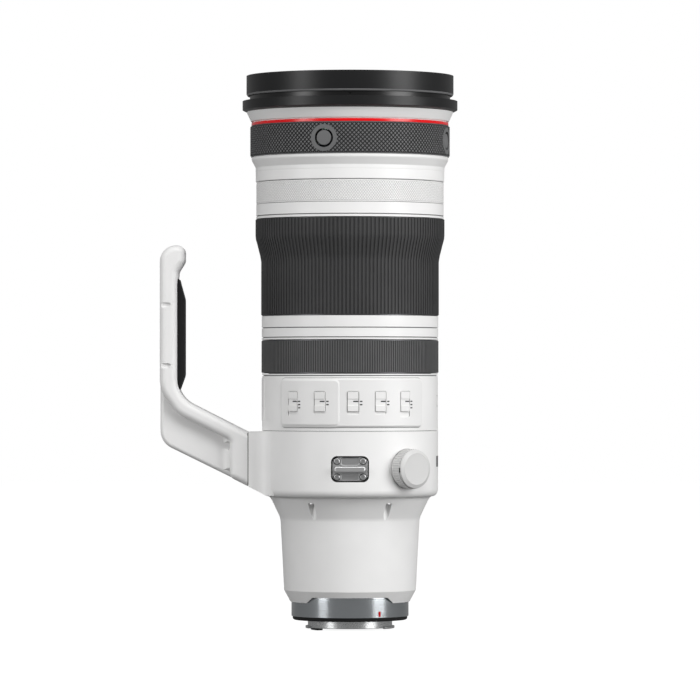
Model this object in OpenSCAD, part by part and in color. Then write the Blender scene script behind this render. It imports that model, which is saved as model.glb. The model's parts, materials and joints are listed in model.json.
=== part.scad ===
/* [Camera mount] */
// Radius of the steel mount ring
mount_r = 34.4; // [33.6:0.1:35]
// Height of the mount ring above the flange face
mount_h = 14; // [12:0.5:15.5]
// Chamfer round the lower edge of the mount ring
mount_edge = 0.6; // [0.2:0.1:1]
// Radius of the bayonet flange plate
flange_r = 32; // [30.5:0.1:32.4]
// Thickness of the bayonet flange plate
flange_t = 3; // [2.2:0.1:4]
// Outer radius of the bayonet spigot
spigot_r = 25.2; // [24.6:0.1:25.8]
// Wall of the bayonet spigot
spigot_wall = 1.7; // [1.2:0.1:2.2]
// Length of the spigot below the flange face
spigot_h = 5.8; // [5:0.1:6.4]
// Radius over the bayonet lugs
lug_r = 26.6; // [26.2:0.1:27.2]
// Height of a bayonet lug
lug_h = 1.4; // [1:0.1:2]
// How far a bayonet lug reaches below the spigot
lug_drop = 0.4; // [0.2:0.1:0.8]
// Angle that one bayonet lug covers
lug_arc = 52; // [30:1:60]
// Number of bayonet lugs
lug_count = 3; // [2:1:4]
// Outer radius of the rubber seal
seal_r = 33.6; // [33:0.1:34]
// Height of the rubber seal
seal_h = 1.4; // [0.8:0.1:2]
// Thickness of the lip of the seal
seal_lip = 0.7; // [0.4:0.1:1]
// Radius of the circle that the bayonet screws stand on
mount_screw_circle = 29; // [28.6:0.1:29.4]
// Radius of a bayonet screw head
mount_screw_head_r = 1.6; // [1.3:0.1:1.8]
// Height of a bayonet screw head
mount_screw_head_h = 1.1; // [0.8:0.1:1.4]
// Radius of a bayonet screw shank
mount_screw_r = 0.9; // [0.7:0.1:1.1]
// Length of a bayonet screw shank
mount_screw_h = 6; // [4:0.5:8]
// Number of bayonet screws
mount_screw_count = 4; // [3:1:6]
// Angle that the contact block covers
contact_arc = 70; // [50:1:90]
// Radial thickness of the contact block
contact_t = 3.6; // [3:0.1:5]
// How far the contact block reaches below the flange face
contact_drop = 7.1; // [6.8:0.1:7.6]
// Height of the flat part of the rear light baffle
baffle_t = 1.6; // [1:0.1:3]
// Width of the opening in the rear light baffle
baffle_w = 32; // [24:0.5:34]
// Height of the opening in the rear light baffle
baffle_l = 22; // [18:0.5:26]
// Corner radius of the opening in the rear light baffle
baffle_corner = 3; // [1:0.5:6]

/* [Rear barrel] */
// Height of the rear barrel top above the flange face
rear_h = 73.2; // [70:0.1:78]
// Height of the rear skirt edge above the flange face
skirt_z = 9.8; // [8:0.1:11]
// Thickness of the rear skirt at its edge
skirt_t = 0.6; // [0.5:0.1:1]
// Height of the slanted rear edge above the skirt edge
skirt_slope_h = 6.8; // [5:0.1:8]
// How far inside the main tube's radius the rear skirt's top lies
rear_low_inset = 10; // [9.2:0.1:10.4]
// How far inside the main tube's radius the waist lies
rear_waist_inset = 7.9; // [7.2:0.1:8.6]
// How far inside the main tube's radius the shoulder's foot lies
shoulder_low_inset = 7.2; // [6.6:0.1:7.4]
// How far inside the main tube's radius the shoulder's top edge lies
shoulder_top_inset = 2.4; // [1.6:0.1:3.2]
// Height of the waist rounding under the shoulder
waist_h = 2.6; // [2:0.1:4]
// Height of the shoulder cone
shoulder_h = 9.4; // [8:0.1:11]
// Height from the shoulder cone to the barrel top
shoulder_rim_h = 3.3; // [3:0.1:5]
// Wall of the rear barrel
rear_wall = 2.2; // [1.6:0.1:2.6]
// Thickness of the floor that the mount ring is screwed to
rear_floor_t = 3; // [2:0.1:5]
// Depth of the thumb notch in the rear skirt
notch_h = 3.3; // [2:0.1:4]
// Half angle of the thumb notch in the rear skirt
notch_half_arc = 40; // [30:1:50]
// Radius of a screw groove in the shoulder
groove_r = 1.95; // [1.8:0.05:2.2]
// How far inside the main tube's radius the barrel screws stand
barrel_screw_inset = 4.1; // [3.6:0.1:4.6]
// Number of barrel screws
barrel_screw_count = 6; // [4:1:8]
// Azimuth of the first barrel screw
barrel_screw_az = 30; // [0:1:60]
// Radius of a barrel screw head
barrel_screw_head_r = 1.65; // [1.4:0.05:1.75]
// Height of a barrel screw head
barrel_screw_head_h = 1.3; // [1:0.1:1.8]
// Radius of a barrel screw shank
barrel_screw_r = 1; // [0.8:0.05:1.2]
// Length of a barrel screw shank
barrel_screw_h = 6; // [5:0.5:7]

/* [Tripod collar] */
// Radial height of the collar over the main tube
collar_wall = 3.8; // [3.3:0.1:4.4]
// Height of the collar
collar_h = 38.1; // [36:0.1:42]
// Height of the rounded lower edge of the collar
collar_fillet_h = 4; // [2:0.1:5]
// Depth of the rounded lower edge of the collar
collar_fillet_d = 2.6; // [1.5:0.1:3]
// Width of the block that carries the foot
block_w = 38; // [35:0.5:44]
// How far the block's joint face stands out from the collar
block_reach = 8.2; // [6.6:0.1:10.6]
// Lower edge of the foot joint above the collar base
joint_low = 5.1; // [4:0.1:7]
// Upper edge of the foot joint above the collar base
joint_high = 37.4; // [34:0.1:37.6]
// Azimuth of the lock knob
knob_az = 40; // [34:1:50]
// Height of the lock knob and the strap lugs above the collar base
knob_up = 16; // [14:0.1:19]
// Radius of the lock knob
knob_r = 12.1; // [11:0.1:12.6]
// Height of the lock knob
knob_h = 8.6; // [7:0.1:10]
// Radius of the raised flat top of the lock knob
knob_top_r = 8.7; // [8:0.1:9.4]
// Depth of the knob's seat in the collar
knob_seat_d = 0.7; // [0.4:0.1:1]
// Radius of the threaded shank of the lock knob
knob_shank_r = 3; // [2.5:0.1:4]
// Width of the pocket round a strap lug
lug_pocket_w = 22.3; // [21:0.1:24]
// Height of the pocket round a strap lug
lug_pocket_h = 15.4; // [14.4:0.1:17]
// Corner radius of the pocket round a strap lug
lug_pocket_corner = 2.9; // [1.5:0.1:4]
// Depth of the pocket of a strap lug in the collar
lug_pocket_d = 2; // [1.6:0.1:2.4]
// Width of the strap lug plate
lug_plate_w = 20.5; // [19:0.1:20.8]
// Height of the strap lug plate
lug_plate_h = 13.8; // [13:0.1:14]
// Thickness of the strap lug plate
lug_plate_t = 1.2; // [0.8:0.1:1.6]
// Width of the strap bar
strap_bar_w = 17.9; // [16:0.1:18.4]
// Height of the strap bar
strap_bar_h = 3; // [2.4:0.1:4]
// Thickness of the strap bar
strap_bar_t = 1.8; // [1.4:0.1:2.4]
// Gap under the strap bar
strap_gap = 3.4; // [2.6:0.1:3.8]
// Radius of a strap lug screw head
lug_screw_head_r = 1.7; // [1.2:0.1:1.9]
// Height of a strap lug screw head
lug_screw_head_h = 0.8; // [0.5:0.1:1]
// Radius of a strap lug screw shank
lug_screw_r = 0.6; // [0.4:0.1:0.8]
// Distance between the strap lug screws across the plate
lug_screw_span_w = 15.3; // [14:0.1:16]
// Distance between the strap lug screws up the plate
lug_screw_span_h = 9.3; // [8.8:0.1:9.8]

/* [Tripod foot] */
// Reach of the foot's outer face from the joint face
foot_reach = 53.1; // [47.4:0.1:59.4]
// Thickness of the handle bar
bar_t = 10.5; // [10:0.1:12]
// Width of the foot
foot_w = 34; // [30:0.5:34.8]
// Rounding of the long outer edges of the foot
foot_edge = 4; // [2:0.1:5]
// Top of the hook above the collar base
hook_up = 148.5; // [140:0.5:155]
// Reach of the hook tip past the inner face of the bar
hook_reach = 5.2; // [4:0.1:6]
// Height of the hook tip
hook_h = 14; // [12:0.5:16]
// Outer radius of the hook
hook_r = 13; // [10:0.5:14]
// Height of the finger curve above the collar base
curve_up = 53.5; // [50:0.5:56]
// Reach of the start of the arm's curve from the joint face
curve_reach = 31.7; // [27.4:0.1:33.4]
// Radius of the finger curve
curve_r = 16; // [12:0.5:17]
// Height of the lower outer corner above the collar base
heel_up = 30.8; // [29:0.1:33]
// Radius of the lower outer corner
heel_r = 12; // [8:0.5:14]
// Depth of the hollow in each side of the web under the bar
web_pocket_d = 8; // [6:0.5:10]
// Thickness of the wall between the joint face and the web
web_wall_t = 11.9; // [9.4:0.1:14.4]
// Height of the sloping arm above the hollow
web_arm_h = 9.3; // [8:0.1:11]
// Radius of the curve where the hollow runs into the outer face
web_curve_r = 20; // [16:0.5:22]
// Corner radius at the end wall of the hollow
web_corner_r = 3; // [2:0.1:4]
// Top of the hollow above the collar base
web_up = 69.5; // [68:0.5:72]
// How far the outer face of the web stands back from the bar
web_inset = 0.7; // [0.4:0.1:1]
// Thickness of the palm pad
pad_t = 5.2; // [4:0.1:6]
// Lower end of the palm pad above the collar base
pad_low = 63; // [60:0.5:72]
// Upper end of the palm pad above the collar base
pad_high = 128.6; // [120:0.5:130]
// Width of the palm pad
pad_w = 27; // [22:0.5:30]
// Height of a side notch in the foot
side_notch_h = 2.9; // [2:0.1:4]
// Depth of a side notch in the foot
side_notch_d = 2; // [1:0.1:3]
// Reach of a side notch from the outer face
side_notch_x = 6.8; // [5:0.1:8]
// Lower side notch above the collar base
side_notch_low = 77; // [70:0.5:82]
// Upper side notch above the collar base
side_notch_high = 113.1; // [108:0.5:118]
// Radius of the small tripod socket
small_socket_r = 3.175; // [3:0.005:3.3]
// Radius of the large tripod socket
large_socket_r = 4.7625; // [4.6:0.0125:4.9]
// Depth of the tripod sockets
socket_d = 8.2; // [7:0.1:8.8]
// Height of the small socket above the collar base
small_socket_up = 104; // [100:0.5:106]
// Height of the large socket above the collar base
large_socket_up = 86; // [84:0.5:90]
// Radius of a foot screw shank
foot_screw_r = 2; // [1.5:0.1:2.4]
// Radius of a foot screw head
foot_screw_head_r = 3.4; // [2.8:0.1:3.6]
// Height of a foot screw head
foot_screw_head_h = 3; // [2:0.1:4]
// Length of a foot screw in the collar block
foot_screw_grip = 5; // [4:0.1:6]
// Distance between the foot screws across the foot
foot_screw_span = 22; // [20:0.5:23]

/* [Switch barrel] */
// Radial height of the switch barrel over the main tube
switch_wall = 3.9; // [3.4:0.1:4.4]
// Height of the switch barrel
switch_h = 33.6; // [32:0.1:36]
// Height of the switch panel above the base of the switch barrel
panel_up = 2; // [1:0.1:3]
// Height of the switch panel
panel_h = 29; // [27:0.1:29.6]
// Thickness of the switch panel
panel_t = 1; // [0.8:0.1:1.4]
// Extra thickness of the raised end of the switch panel
panel_step = 0.4; // [0.2:0.1:0.6]
// Azimuth of the low end of the switch panel
panel_az_low = -51; // [-56:1:-48]
// Azimuth of the step in the switch panel
panel_az_step = -6.5; // [-8:0.5:-5]
// Azimuth of the high end of the switch panel
panel_az_high = 54; // [48:1:60]
// Azimuths of the switches, one after the other
switch_az = [-38.8, -19.3, 1.9, 19.7, 37.4];
// Travel of the outer slide switches
switch_travel_long = 3.1; // [2:0.1:4]
// Travel of the middle slide switches
switch_travel_short = 1.6; // [1:0.1:3]
// Width of a switch slider
slider_w = 6.5; // [5.5:0.1:7.5]
// Height of a switch slider
slider_h = 11.6; // [10:0.1:12.6]
// Height of the upper end of the sliders above the barrel base
slider_top = 23.1; // [22:0.1:25]
// How far a slider stands proud of the switch panel
slider_proud = 0.7; // [0.3:0.1:1.2]
// Depth of a switch well below the barrel surface
well_d = 2; // [1.6:0.1:2.6]
// Height of a rib on a slider
slider_rib = 0.35; // [0.2:0.05:0.5]

/* [Focus ring] */
// Radial height of the focus ring over the main tube
focus_wall = 4.3; // [3.8:0.1:5]
// Height of the focus ring
focus_h = 19.8; // [16:0.1:24]
// Thickness of the rubber on both grip rings
grip_t = 1.6; // [1.2:0.1:2]
// Lip of a ring core beside its rubber
grip_lip = 0.4; // [0.2:0.1:0.8]

/* [Zoom ring] */
// Radial height of the sleeve between the rings over the main tube
mid_wall = 3.8; // [3.4:0.1:4.4]
// Height of the middle sleeve
mid_h = 14; // [12:0.1:16]
// Height of the zoom ring
zoom_h = 57.5; // [54:0.1:62]
// Radial height of the zoom ring's slim part over the main tube
zoom_small_wall = 4.5; // [3.9:0.1:5.4]
// Radial height of the zoom ring's wide part over the main tube
zoom_large_wall = 7.9; // [6.9:0.1:8.4]
// Height of the straight small end of the zoom ring
zoom_small_h = 31.9; // [28:0.1:34]
// Height of the straight large end of the zoom ring
zoom_large_h = 10.8; // [8:0.1:13]
// Turn of the zoom ring from wide to long
zoom_turn = 70; // [50:1:80]

/* [Front barrel] */
// Radial height of the front sleeve over the main tube
front_wall = 7.4; // [6.6:0.1:7.7]
// Height of the front sleeve below the control ring
front_low_h = 8.6; // [6:0.1:10]
// Height of the control ring
control_h = 12.8; // [10:0.1:15]
// Wall of the control ring
control_wall = 2.4; // [2:0.1:3]
// Height of the front sleeve above the control ring
front_high_h = 8.4; // [7:0.1:11]
// Height of the cone below the button band
cone_h = 4.7; // [4:0.1:6]
// Height of the rim above the cone
cone_rim_h = 1.9; // [1.5:0.1:3]
// How much the front cone widens from the front sleeve
cone_spread = 2.8; // [2.4:0.1:3.2]
// How far the button band stands proud of the cone's rim
band_proud = 0.8; // [0.4:0.1:1.6]
// Height of the button band
band_h = 17.9; // [16.4:0.1:20]
// Bevel at the top of the button band
band_edge = 0.7; // [0.3:0.1:1]
// Radius of a function button
button_r = 4.9; // [4.2:0.1:5.2]
// Radius of a button well
button_well_r = 5.6; // [5.4:0.1:6]
// Depth of a button well
button_well_d = 2.2; // [2:0.1:2.5]
// Travel of a function button
button_travel = 0.8; // [0.4:0.1:0.9]
// Azimuth of the first function button
button_az = -15; // [-30:1:30]
// How far the red ring lies inside the button band
red_inset = 0.8; // [0.5:0.1:1.4]
// Height of the red ring
red_h = 1.6; // [1.2:0.1:2.6]
// Height of the dark seat on each side of the red ring
red_seat = 0.8; // [0.3:0.1:1.2]
// How far the flare's lower edge lies inside the button band
flare_low_inset = 0.5; // [0.2:0.1:0.8]
// How much the flare widens towards the front
flare_spread = 2.7; // [1.9:0.1:3.3]
// Height of the flare
flare_h = 5.8; // [5:0.1:8]
// Wall of the front rim round the filter thread
rim_wall = 5.9; // [5:0.1:7]
// Height of the rim of the front ring
rim_h = 12.1; // [10:0.1:14]
// Rounding of the top edge of the rim
rim_edge = 1.8; // [1:0.1:2.4]
// Depth of the hood groove below the rim
hood_groove_d = 2; // [1.3:0.1:2.9]
// Height of the hood groove
hood_groove_h = 3; // [2:0.1:4]
// How far the hood flange stands proud of the rim
hood_flange_proud = 2.1; // [1.3:0.1:3.1]
// Height of the hood flange
hood_flange_h = 5.3; // [4:0.1:7]
// Height of the chamfer under the hood flange
hood_chamfer_h = 1.2; // [0.8:0.1:2]
// How much larger than the front cell the filter thread is in radius
filter_over = 1.7; // [1.3:0.1:2.3]
// Depth of the filter thread
filter_d = 9; // [7:0.1:9.8]
// Radius of the set screw holes in the hood groove
set_hole_r = 0.6; // [0.5:0.05:0.8]

/* [Inside] */
// Outer radius of the main tube
tube_r = 48.6; // [48.4:0.05:48.8]
// Wall of the main tube
tube_wall = 2; // [1.8:0.1:2.4]
// Wall of the zoom cam tube
cam_wall = 1.6; // [1.2:0.1:2]
// Radius of the cam rollers
roller_r = 1.5; // [1.2:0.1:1.8]
// Height of a moving lens cell
cell_h = 12; // [10:0.1:12.6]
// Place of the variator above the base of the zoom ring
variator_up = 62.8; // [61.8:0.1:64]
// Travel of the variator towards the rear
variator_travel = 24; // [20:0.5:24.5]
// Place of the compensator above the base of the zoom ring
compensator_up = 11.8; // [10.8:0.1:13]
// Travel of the compensator towards the front
compensator_travel = 12; // [8:0.5:12.5]
// Radial width of the variator cell round its glass
variator_rim = 8.4; // [6.4:0.5:12.4]
// Radial width of the compensator cell round its glass
compensator_rim = 12.4; // [9.4:0.5:16.4]
// Height of the zoom key
key_h = 4.6; // [3.6:0.1:4.8]
// Width of the zoom key
key_w = 8; // [6:0.1:10]
// How much larger than the main tube the front glass is in radius
front_glass_over = 3.4; // [2.4:0.1:3.8]
// Edge thickness of the front glass
front_glass_edge = 3.4; // [2.6:0.1:4]
// Bulge of the front glass
front_glass_bulge = 5.4; // [4:0.1:6]
// Spacing of the front glasses
front_glass_pitch = 15; // [13.5:0.1:16]
// Wall of the front cell
front_cell_wall = 2.3; // [2.2:0.1:2.7]
// Wall of the front carrier tube
carrier_wall = 2; // [1.6:0.1:2.1]
// Distance from the focus glass's edge to the guide rods
focus_rim = 12.5; // [10.5:0.5:16.5]
// Radius of the guide rods
rod_r = 2; // [1.6:0.1:2.4]
// How far inside the main tube's bore the guide rods stand
rod_inset = 8.05; // [7.05:0.1:9.05]
// Thickness of the plate that holds the guide rods
rod_plate_t = 3; // [2:0.1:4]
// Height of the focus cell
focus_cell_h = 8; // [7:0.1:9]
// Radius of a focus motor
motor_r = 4.5; // [3.8:0.1:4.8]
// Length of a focus motor
motor_h = 20; // [16:0.5:24]
// Distance from the stabiliser glass's edge to the main tube's bore
steady_rim = 26.55; // [25.05:0.5:28.55]
// Travel of the stabiliser each way
steady_travel = 1.5; // [1:0.1:1.8]
// Thickness of the stabiliser plates
steady_plate_t = 2.4; // [2:0.1:3]
// Height of the stabiliser base above the base of the main tube
steady_up = 14; // [13.4:0.1:16]
// Height of the iris base above the base of the main tube
iris_up = 3; // [2:0.1:4]
// Thickness of the iris base
iris_base_t = 2; // [1.5:0.1:2.4]
// Distance from the open iris to the main tube's bore
iris_rim = 25.55; // [24.55:0.5:28.55]
// Number of iris blades
iris_blade_count = 9; // [7:1:11]
// Angle that one iris blade covers
iris_blade_arc = 75; // [60:1:85]
// Thickness of an iris blade
iris_blade_t = 0.3; // [0.2:0.05:0.4]
// Radius of the rear glass
rear_glass_r = 21; // [18:0.5:22]
// Outer radius of the rear cell
rear_cell_r = 24; // [23.5:0.1:26]
// Thickness of the circuit board
board_t = 1.6; // [1.2:0.1:2]

/* [Fits] */
// Radial gap between parts that turn on each other
turn_gap = 0.3; // [0.25:0.05:0.35]
// Gap at the ends of parts that turn on each other
end_gap = 0.3; // [0.25:0.05:0.4]
// Radial gap between parts that are fixed together
seat_gap = 0.05; // [0.03:0.01:0.08]
// Radial running clearance of shanks, rods and bearings
run_gap = 0.1; // [0.06:0.01:0.12]

/* [Hidden] */
$fn = 128;

// One overrun serves every cut
over = 1;

// Segments of a rounded corner and of a glass face
corner_steps = 6;
glass_steps = 10;

// Counts that the mechanism needs
roller_count = 3;
button_count = 4;
set_hole_count = 3;
slider_rows = 5;

// Small forms, as shares of the size beside them
seal_bevel_share = 0.35;
fillet_share = 0.3;
foot_screw_share = 0.25;
knob_skirt_share = 0.84;
knob_bevel_share = 0.17;
hook_tip_share = 0.7;
hook_root_share = 1.3;
pad_back_share = 0.25;
zoom_cone_shares = [[0.25, 0.4], [0.85, 0.8]];
front_back_share = 0.33;
front_lip_share = 0.12;
cell_edge_share = 0.25;
cell_bulge_share = 0.2;
focus_edge_share = 0.33;
steady_glass_share = 1.5;
blade_pitch_share = 1.5;
rear_edge_share = 0.25;
rear_glass_shares = [0.1, 0.4, 0.8];

// Stations along the axis, from the mount to the front
z_collar = rear_h + end_gap;
z_switch = z_collar + collar_h + end_gap;
z_focus = z_switch + switch_h + end_gap;
z_mid = z_focus + focus_h + end_gap;
z_zoom = z_mid + mid_h + end_gap;
z_front = z_zoom + zoom_h + end_gap;
z_control = z_front + front_low_h;
z_cone_base = z_control + control_h + 2 * end_gap;
z_cone = z_cone_base + front_high_h;
z_band = z_cone + cone_h + cone_rim_h;
z_red = z_band + band_h;
z_red_top = z_red + red_seat + red_h;
z_flare = z_red_top + red_seat;
z_flange = z_flare + flare_h;
z_groove = z_flange + hood_chamfer_h + hood_flange_h;
z_rim = z_groove + hood_groove_h;
z_top = z_rim + rim_h;

// Radii that follow from the driving ones
collar_r = tube_r + collar_wall;
lug_floor = collar_r - lug_pocket_d;
knob_seat = collar_r - knob_seat_d;
joint_x = collar_r + block_reach;
foot_x = joint_x + foot_reach;
curve_x = joint_x + curve_reach;
web_wall_x = joint_x + web_wall_t;
barrel_screw_circle = tube_r - barrel_screw_inset;
shoulder_top_r = tube_r - shoulder_top_inset;
shoulder_low_r = tube_r - shoulder_low_inset;
rear_waist_r = tube_r - rear_waist_inset;
rear_low_r = tube_r - rear_low_inset;
switch_r = tube_r + switch_wall;
focus_r = tube_r + focus_wall;
mid_r = tube_r + mid_wall;
zoom_small_r = tube_r + zoom_small_wall;
zoom_large_r = tube_r + zoom_large_wall;
front_r = tube_r + front_wall;
cone_r = front_r + cone_spread;
band_r = cone_r + band_proud;
red_r = band_r - red_inset;
flare_low_r = band_r - flare_low_inset;
flare_high_r = flare_low_r + flare_spread;
front_glass_r = tube_r + front_glass_over;
tube_in = tube_r - tube_wall;
cam_r = tube_in - turn_gap;
cam_in = cam_r - cam_wall;
cell_r = cam_in - turn_gap;
variator_glass_r = cell_r - variator_rim;
compensator_glass_r = cell_r - compensator_rim;
ring_in = tube_r + turn_gap;
sleeve_in = tube_r + seat_gap;
inner_r = tube_in - seat_gap;
rod_circle = inner_r - rod_inset;
focus_glass_r = rod_circle - focus_rim;
steady_glass_r = inner_r - steady_rim;
iris_open_r = inner_r - iris_rim;
control_in = front_r - control_wall;
control_seat_r = control_in - turn_gap;
cell_out = front_glass_r + front_cell_wall;
filter_r = cell_out + filter_over;
rim_r = filter_r + rim_wall;
hood_groove_r = rim_r - hood_groove_d;
hood_flange_r = rim_r + hood_flange_proud;
carrier_in = cell_out + seat_gap;
carrier_r = carrier_in + carrier_wall;
spigot_in = spigot_r - spigot_wall;
shoulder_z = rear_h - shoulder_rim_h;
waist_z = shoulder_z - shoulder_h;

// Places inside
z_key = z_zoom + compensator_up + compensator_travel + (variator_up - variator_travel
    - compensator_up - compensator_travel) / 2;
z_variator = z_zoom + variator_up;
z_compensator = z_zoom + compensator_up;
cam_low = z_compensator - cell_h / 2;
cam_high = z_variator + cell_h / 2;
z_rod_plate = z_zoom - end_gap - rod_plate_t;
z_steady = z_switch + steady_up;
z_steady_top = z_steady + steady_plate_t;
z_iris = z_switch + iris_up;
z_rear_cell = mount_h + rear_floor_t;
z_glass = z_top - filter_d - front_glass_bulge;
z_board = z_switch - board_t - tube_wall;
focus_rest_z = z_rod_plate - end_gap - focus_cell_h;

// Switches and panel
panel_z = z_switch + panel_up;
panel_r = switch_r + panel_t;
panel_high_r = panel_r + panel_step;
well_floor = switch_r - well_d;
slider_floor = well_floor + turn_gap;
switch_travels = [switch_travel_long, switch_travel_short, switch_travel_short,
    switch_travel_short, switch_travel_long];
slider_len = panel_high_r + slider_proud - slider_floor;

// Tripod foot
knob_z = z_collar + knob_up;
bar_in_x = foot_x - bar_t;

// A ring about the lens axis
module ring(r_out, r_in, z, h) {
    translate([0, 0, z])
        difference() {
            cylinder(r = r_out, h = h);
            translate([0, 0, -over])
                cylinder(r = r_in, h = h + 2 * over);
        }
}

// Part of a ring, between two azimuths
module sector(r_in, r_out, z, h, az_low, az_high) {
    rotate([0, 0, az_low - 90])
        rotate_extrude(angle = az_high - az_low)
            translate([r_in, z])
                square([r_out - r_in, h]);
}

// Places a part on the barrel: its Z points outwards, its Y towards the front
module facing(az, z, r) {
    rotate([0, 0, az])
        translate([0, -r, z])
            rotate([90, 0, 0])
                children();
}

// A rectangle with round corners about the centre
module round_rect(w, h, r) {
    for (x = [-1, 1], y = [-1, 1])
        translate([x * (w / 2 - r), y * (h / 2 - r)])
            circle(r = r);
    square([w - 2 * r, h], center = true);
    square([w, h - 2 * r], center = true);
}

function unit(v) = v / norm(v);

function reversed(p) = [for (i = [len(p) - 1:-1:0]) p[i]];

// The arc that rounds the corner b between a and c
function corner_arc(a, b, c, r) =
    let (n = corner_steps)
    let (u = unit(a - b), v = unit(c - b))
    let (half = acos(u * v) / 2)
    let (o = b + unit(u + v) * (r / sin(half)))
    let (p = b + u * (r / tan(half)) - o, q = b + v * (r / tan(half)) - o)
    let (start = atan2(p[1], p[0]))
    let (sweep = (atan2(q[1], q[0]) - start + 540) % 360 - 180)
    [for (i = [0:n]) o + r * [cos(start + sweep * i / n), sin(start + sweep * i / n)]];

// An outline from corners [x, y, radius]
function rounded(p) = [
    for (i = [0:len(p) - 1])
        let (a = p[(i + len(p) - 1) % len(p)], b = p[i], c = p[(i + 1) % len(p)])
        each (b[2] == 0 ? [[b[0], b[1]]]
            : corner_arc([a[0], a[1]], [b[0], b[1]], [c[0], c[1]], b[2]))
];

// Half outline of one face of a glass, from the axis to the rim, standing on height z
function face_arc(r, bulge, z) =
    let (n = glass_steps)
    let (ball = (r * r + bulge * bulge) / (2 * abs(bulge)))
    let (half = asin(r / ball))
    [for (i = [0:n])
        [ball * sin(half * i / n), z + sign(bulge) * (ball * cos(half * i / n) - ball + abs(bulge))]];

// A glass with a bulge on each face, its edge standing on z
module glass(r, edge, low, high, z) {
    rotate_extrude()
        polygon(concat(face_arc(r, -low, z), reversed(face_arc(r, high, z + edge))));
}

module mount_ring() {
    color("#8f979c")
        difference() {
            rotate_extrude()
                polygon([
                    [flange_r + seat_gap, 0],
                    [mount_r - mount_edge, 0],
                    [mount_r, mount_edge],
                    [mount_r, mount_h],
                    [spigot_r + seat_gap, mount_h],
                    [spigot_r + seat_gap, flange_t],
                    [flange_r + seat_gap, flange_t]
                ]);
            for (i = [0:mount_screw_count - 1])
                rotate([0, 0, 360 * i / mount_screw_count])
                    translate([0, -mount_screw_circle, flange_t - over])
                        cylinder(r = mount_screw_r + seat_gap, h = mount_screw_h + over);
        }
}

module bayonet() {
    color("#b5babd")
        difference() {
            union() {
                cylinder(r = flange_r, h = flange_t);
                translate([0, 0, -spigot_h])
                    cylinder(r = spigot_r, h = spigot_h + flange_t);
                for (i = [0:lug_count - 1])
                    sector(spigot_r - spigot_wall / 2, lug_r, -spigot_h - lug_drop, lug_h,
                        360 * i / lug_count, 360 * i / lug_count + lug_arc);
            }
            translate([0, 0, -spigot_h - lug_drop - over])
                cylinder(r = spigot_in, h = spigot_h + lug_drop + flange_t + 2 * over);
            for (i = [0:mount_screw_count - 1])
                rotate([0, 0, 360 * i / mount_screw_count])
                    translate([0, -mount_screw_circle, 0]) {
                        translate([0, 0, -over])
                            cylinder(r = mount_screw_head_r + seat_gap,
                                h = mount_screw_head_h + seat_gap + over);
                        cylinder(r = mount_screw_r + seat_gap, h = flange_t + over);
                    }
        }
}

module bayonet_screws() {
    color("#c9ccce")
        for (i = [0:mount_screw_count - 1])
            rotate([0, 0, 360 * i / mount_screw_count])
                translate([0, -mount_screw_circle, seat_gap]) {
                    cylinder(r = mount_screw_head_r, h = mount_screw_head_h);
                    cylinder(r = mount_screw_r, h = flange_t + mount_screw_h - 2 * seat_gap);
                }
}

module mount_seal() {
    color("#1c1c1e")
        rotate_extrude()
            polygon([
                [flange_r + seat_gap, 0],
                [flange_r + seat_gap, -seal_h * seal_bevel_share],
                [seal_r - seal_lip - seal_h * seal_bevel_share, -seal_h],
                [seal_r - seal_lip / 2, -seal_h],
                [seal_r, 0]
            ]);
}

module contact_block() {
    color("#26272a")
        sector(spigot_in - seat_gap - contact_t, spigot_in - seat_gap, -contact_drop,
            contact_drop + flange_t, -90 - contact_arc / 2, -90 + contact_arc / 2);
}

module rear_baffle() {
    color("#18181a")
        translate([0, 0, flange_t])
            linear_extrude(baffle_t)
                difference() {
                    circle(r = spigot_in + spigot_wall - seat_gap);
                    round_rect(baffle_w, baffle_l, baffle_corner);
                }
}

module rear_barrel() {
    floor_in = rear_cell_r - rear_wall;
    color("#e6e5e1")
        difference() {
            rotate_extrude()
                polygon([
                    [mount_r + seat_gap, skirt_z],
                    [mount_r + skirt_t, skirt_z],
                    [rear_low_r, skirt_z + skirt_slope_h],
                    [rear_waist_r, waist_z - waist_h],
                    [shoulder_low_r, waist_z],
                    [shoulder_top_r, shoulder_z],
                    [tube_r - turn_gap, rear_h],
                    [rear_low_r - rear_wall + turn_gap, rear_h],
                    [rear_low_r - rear_wall + turn_gap, waist_z],
                    [rear_low_r - rear_wall, mount_h + rear_floor_t],
                    [floor_in, mount_h + rear_floor_t],
                    [floor_in, mount_h],
                    [mount_r + seat_gap, mount_h]
                ]);
            sector(mount_r - over, rear_low_r + over, skirt_z - over, notch_h + over,
                -notch_half_arc, notch_half_arc);
            for (i = [0:barrel_screw_count - 1])
                rotate([0, 0, barrel_screw_az + 360 * i / barrel_screw_count])
                    translate([0, -barrel_screw_circle, 0]) {
                        translate([0, 0, waist_z - over])
                            cylinder(r = groove_r, h = shoulder_h + over);
                        translate([0, 0, waist_z])
                            cylinder(r = barrel_screw_r + seat_gap,
                                h = rear_h - waist_z + over);
                    }
        }
}

module bearing_tube() {
    flange_h = barrel_screw_h + seat_gap - shoulder_rim_h + seat_gap;
    tube_base = barrel_screw_circle - groove_r - rear_wall;
    color("#b9bbb9")
        difference() {
            union() {
                ring(tube_r, tube_in, rear_h, z_switch - rear_h);
                ring(tube_r, tube_base, rear_h, flange_h);
            }
            for (i = [0:barrel_screw_count - 1])
                rotate([0, 0, barrel_screw_az + 360 * i / barrel_screw_count])
                    translate([0, -barrel_screw_circle, rear_h - over])
                        cylinder(r = barrel_screw_r + seat_gap, h = flange_h + 2 * over);
        }
}

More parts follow.
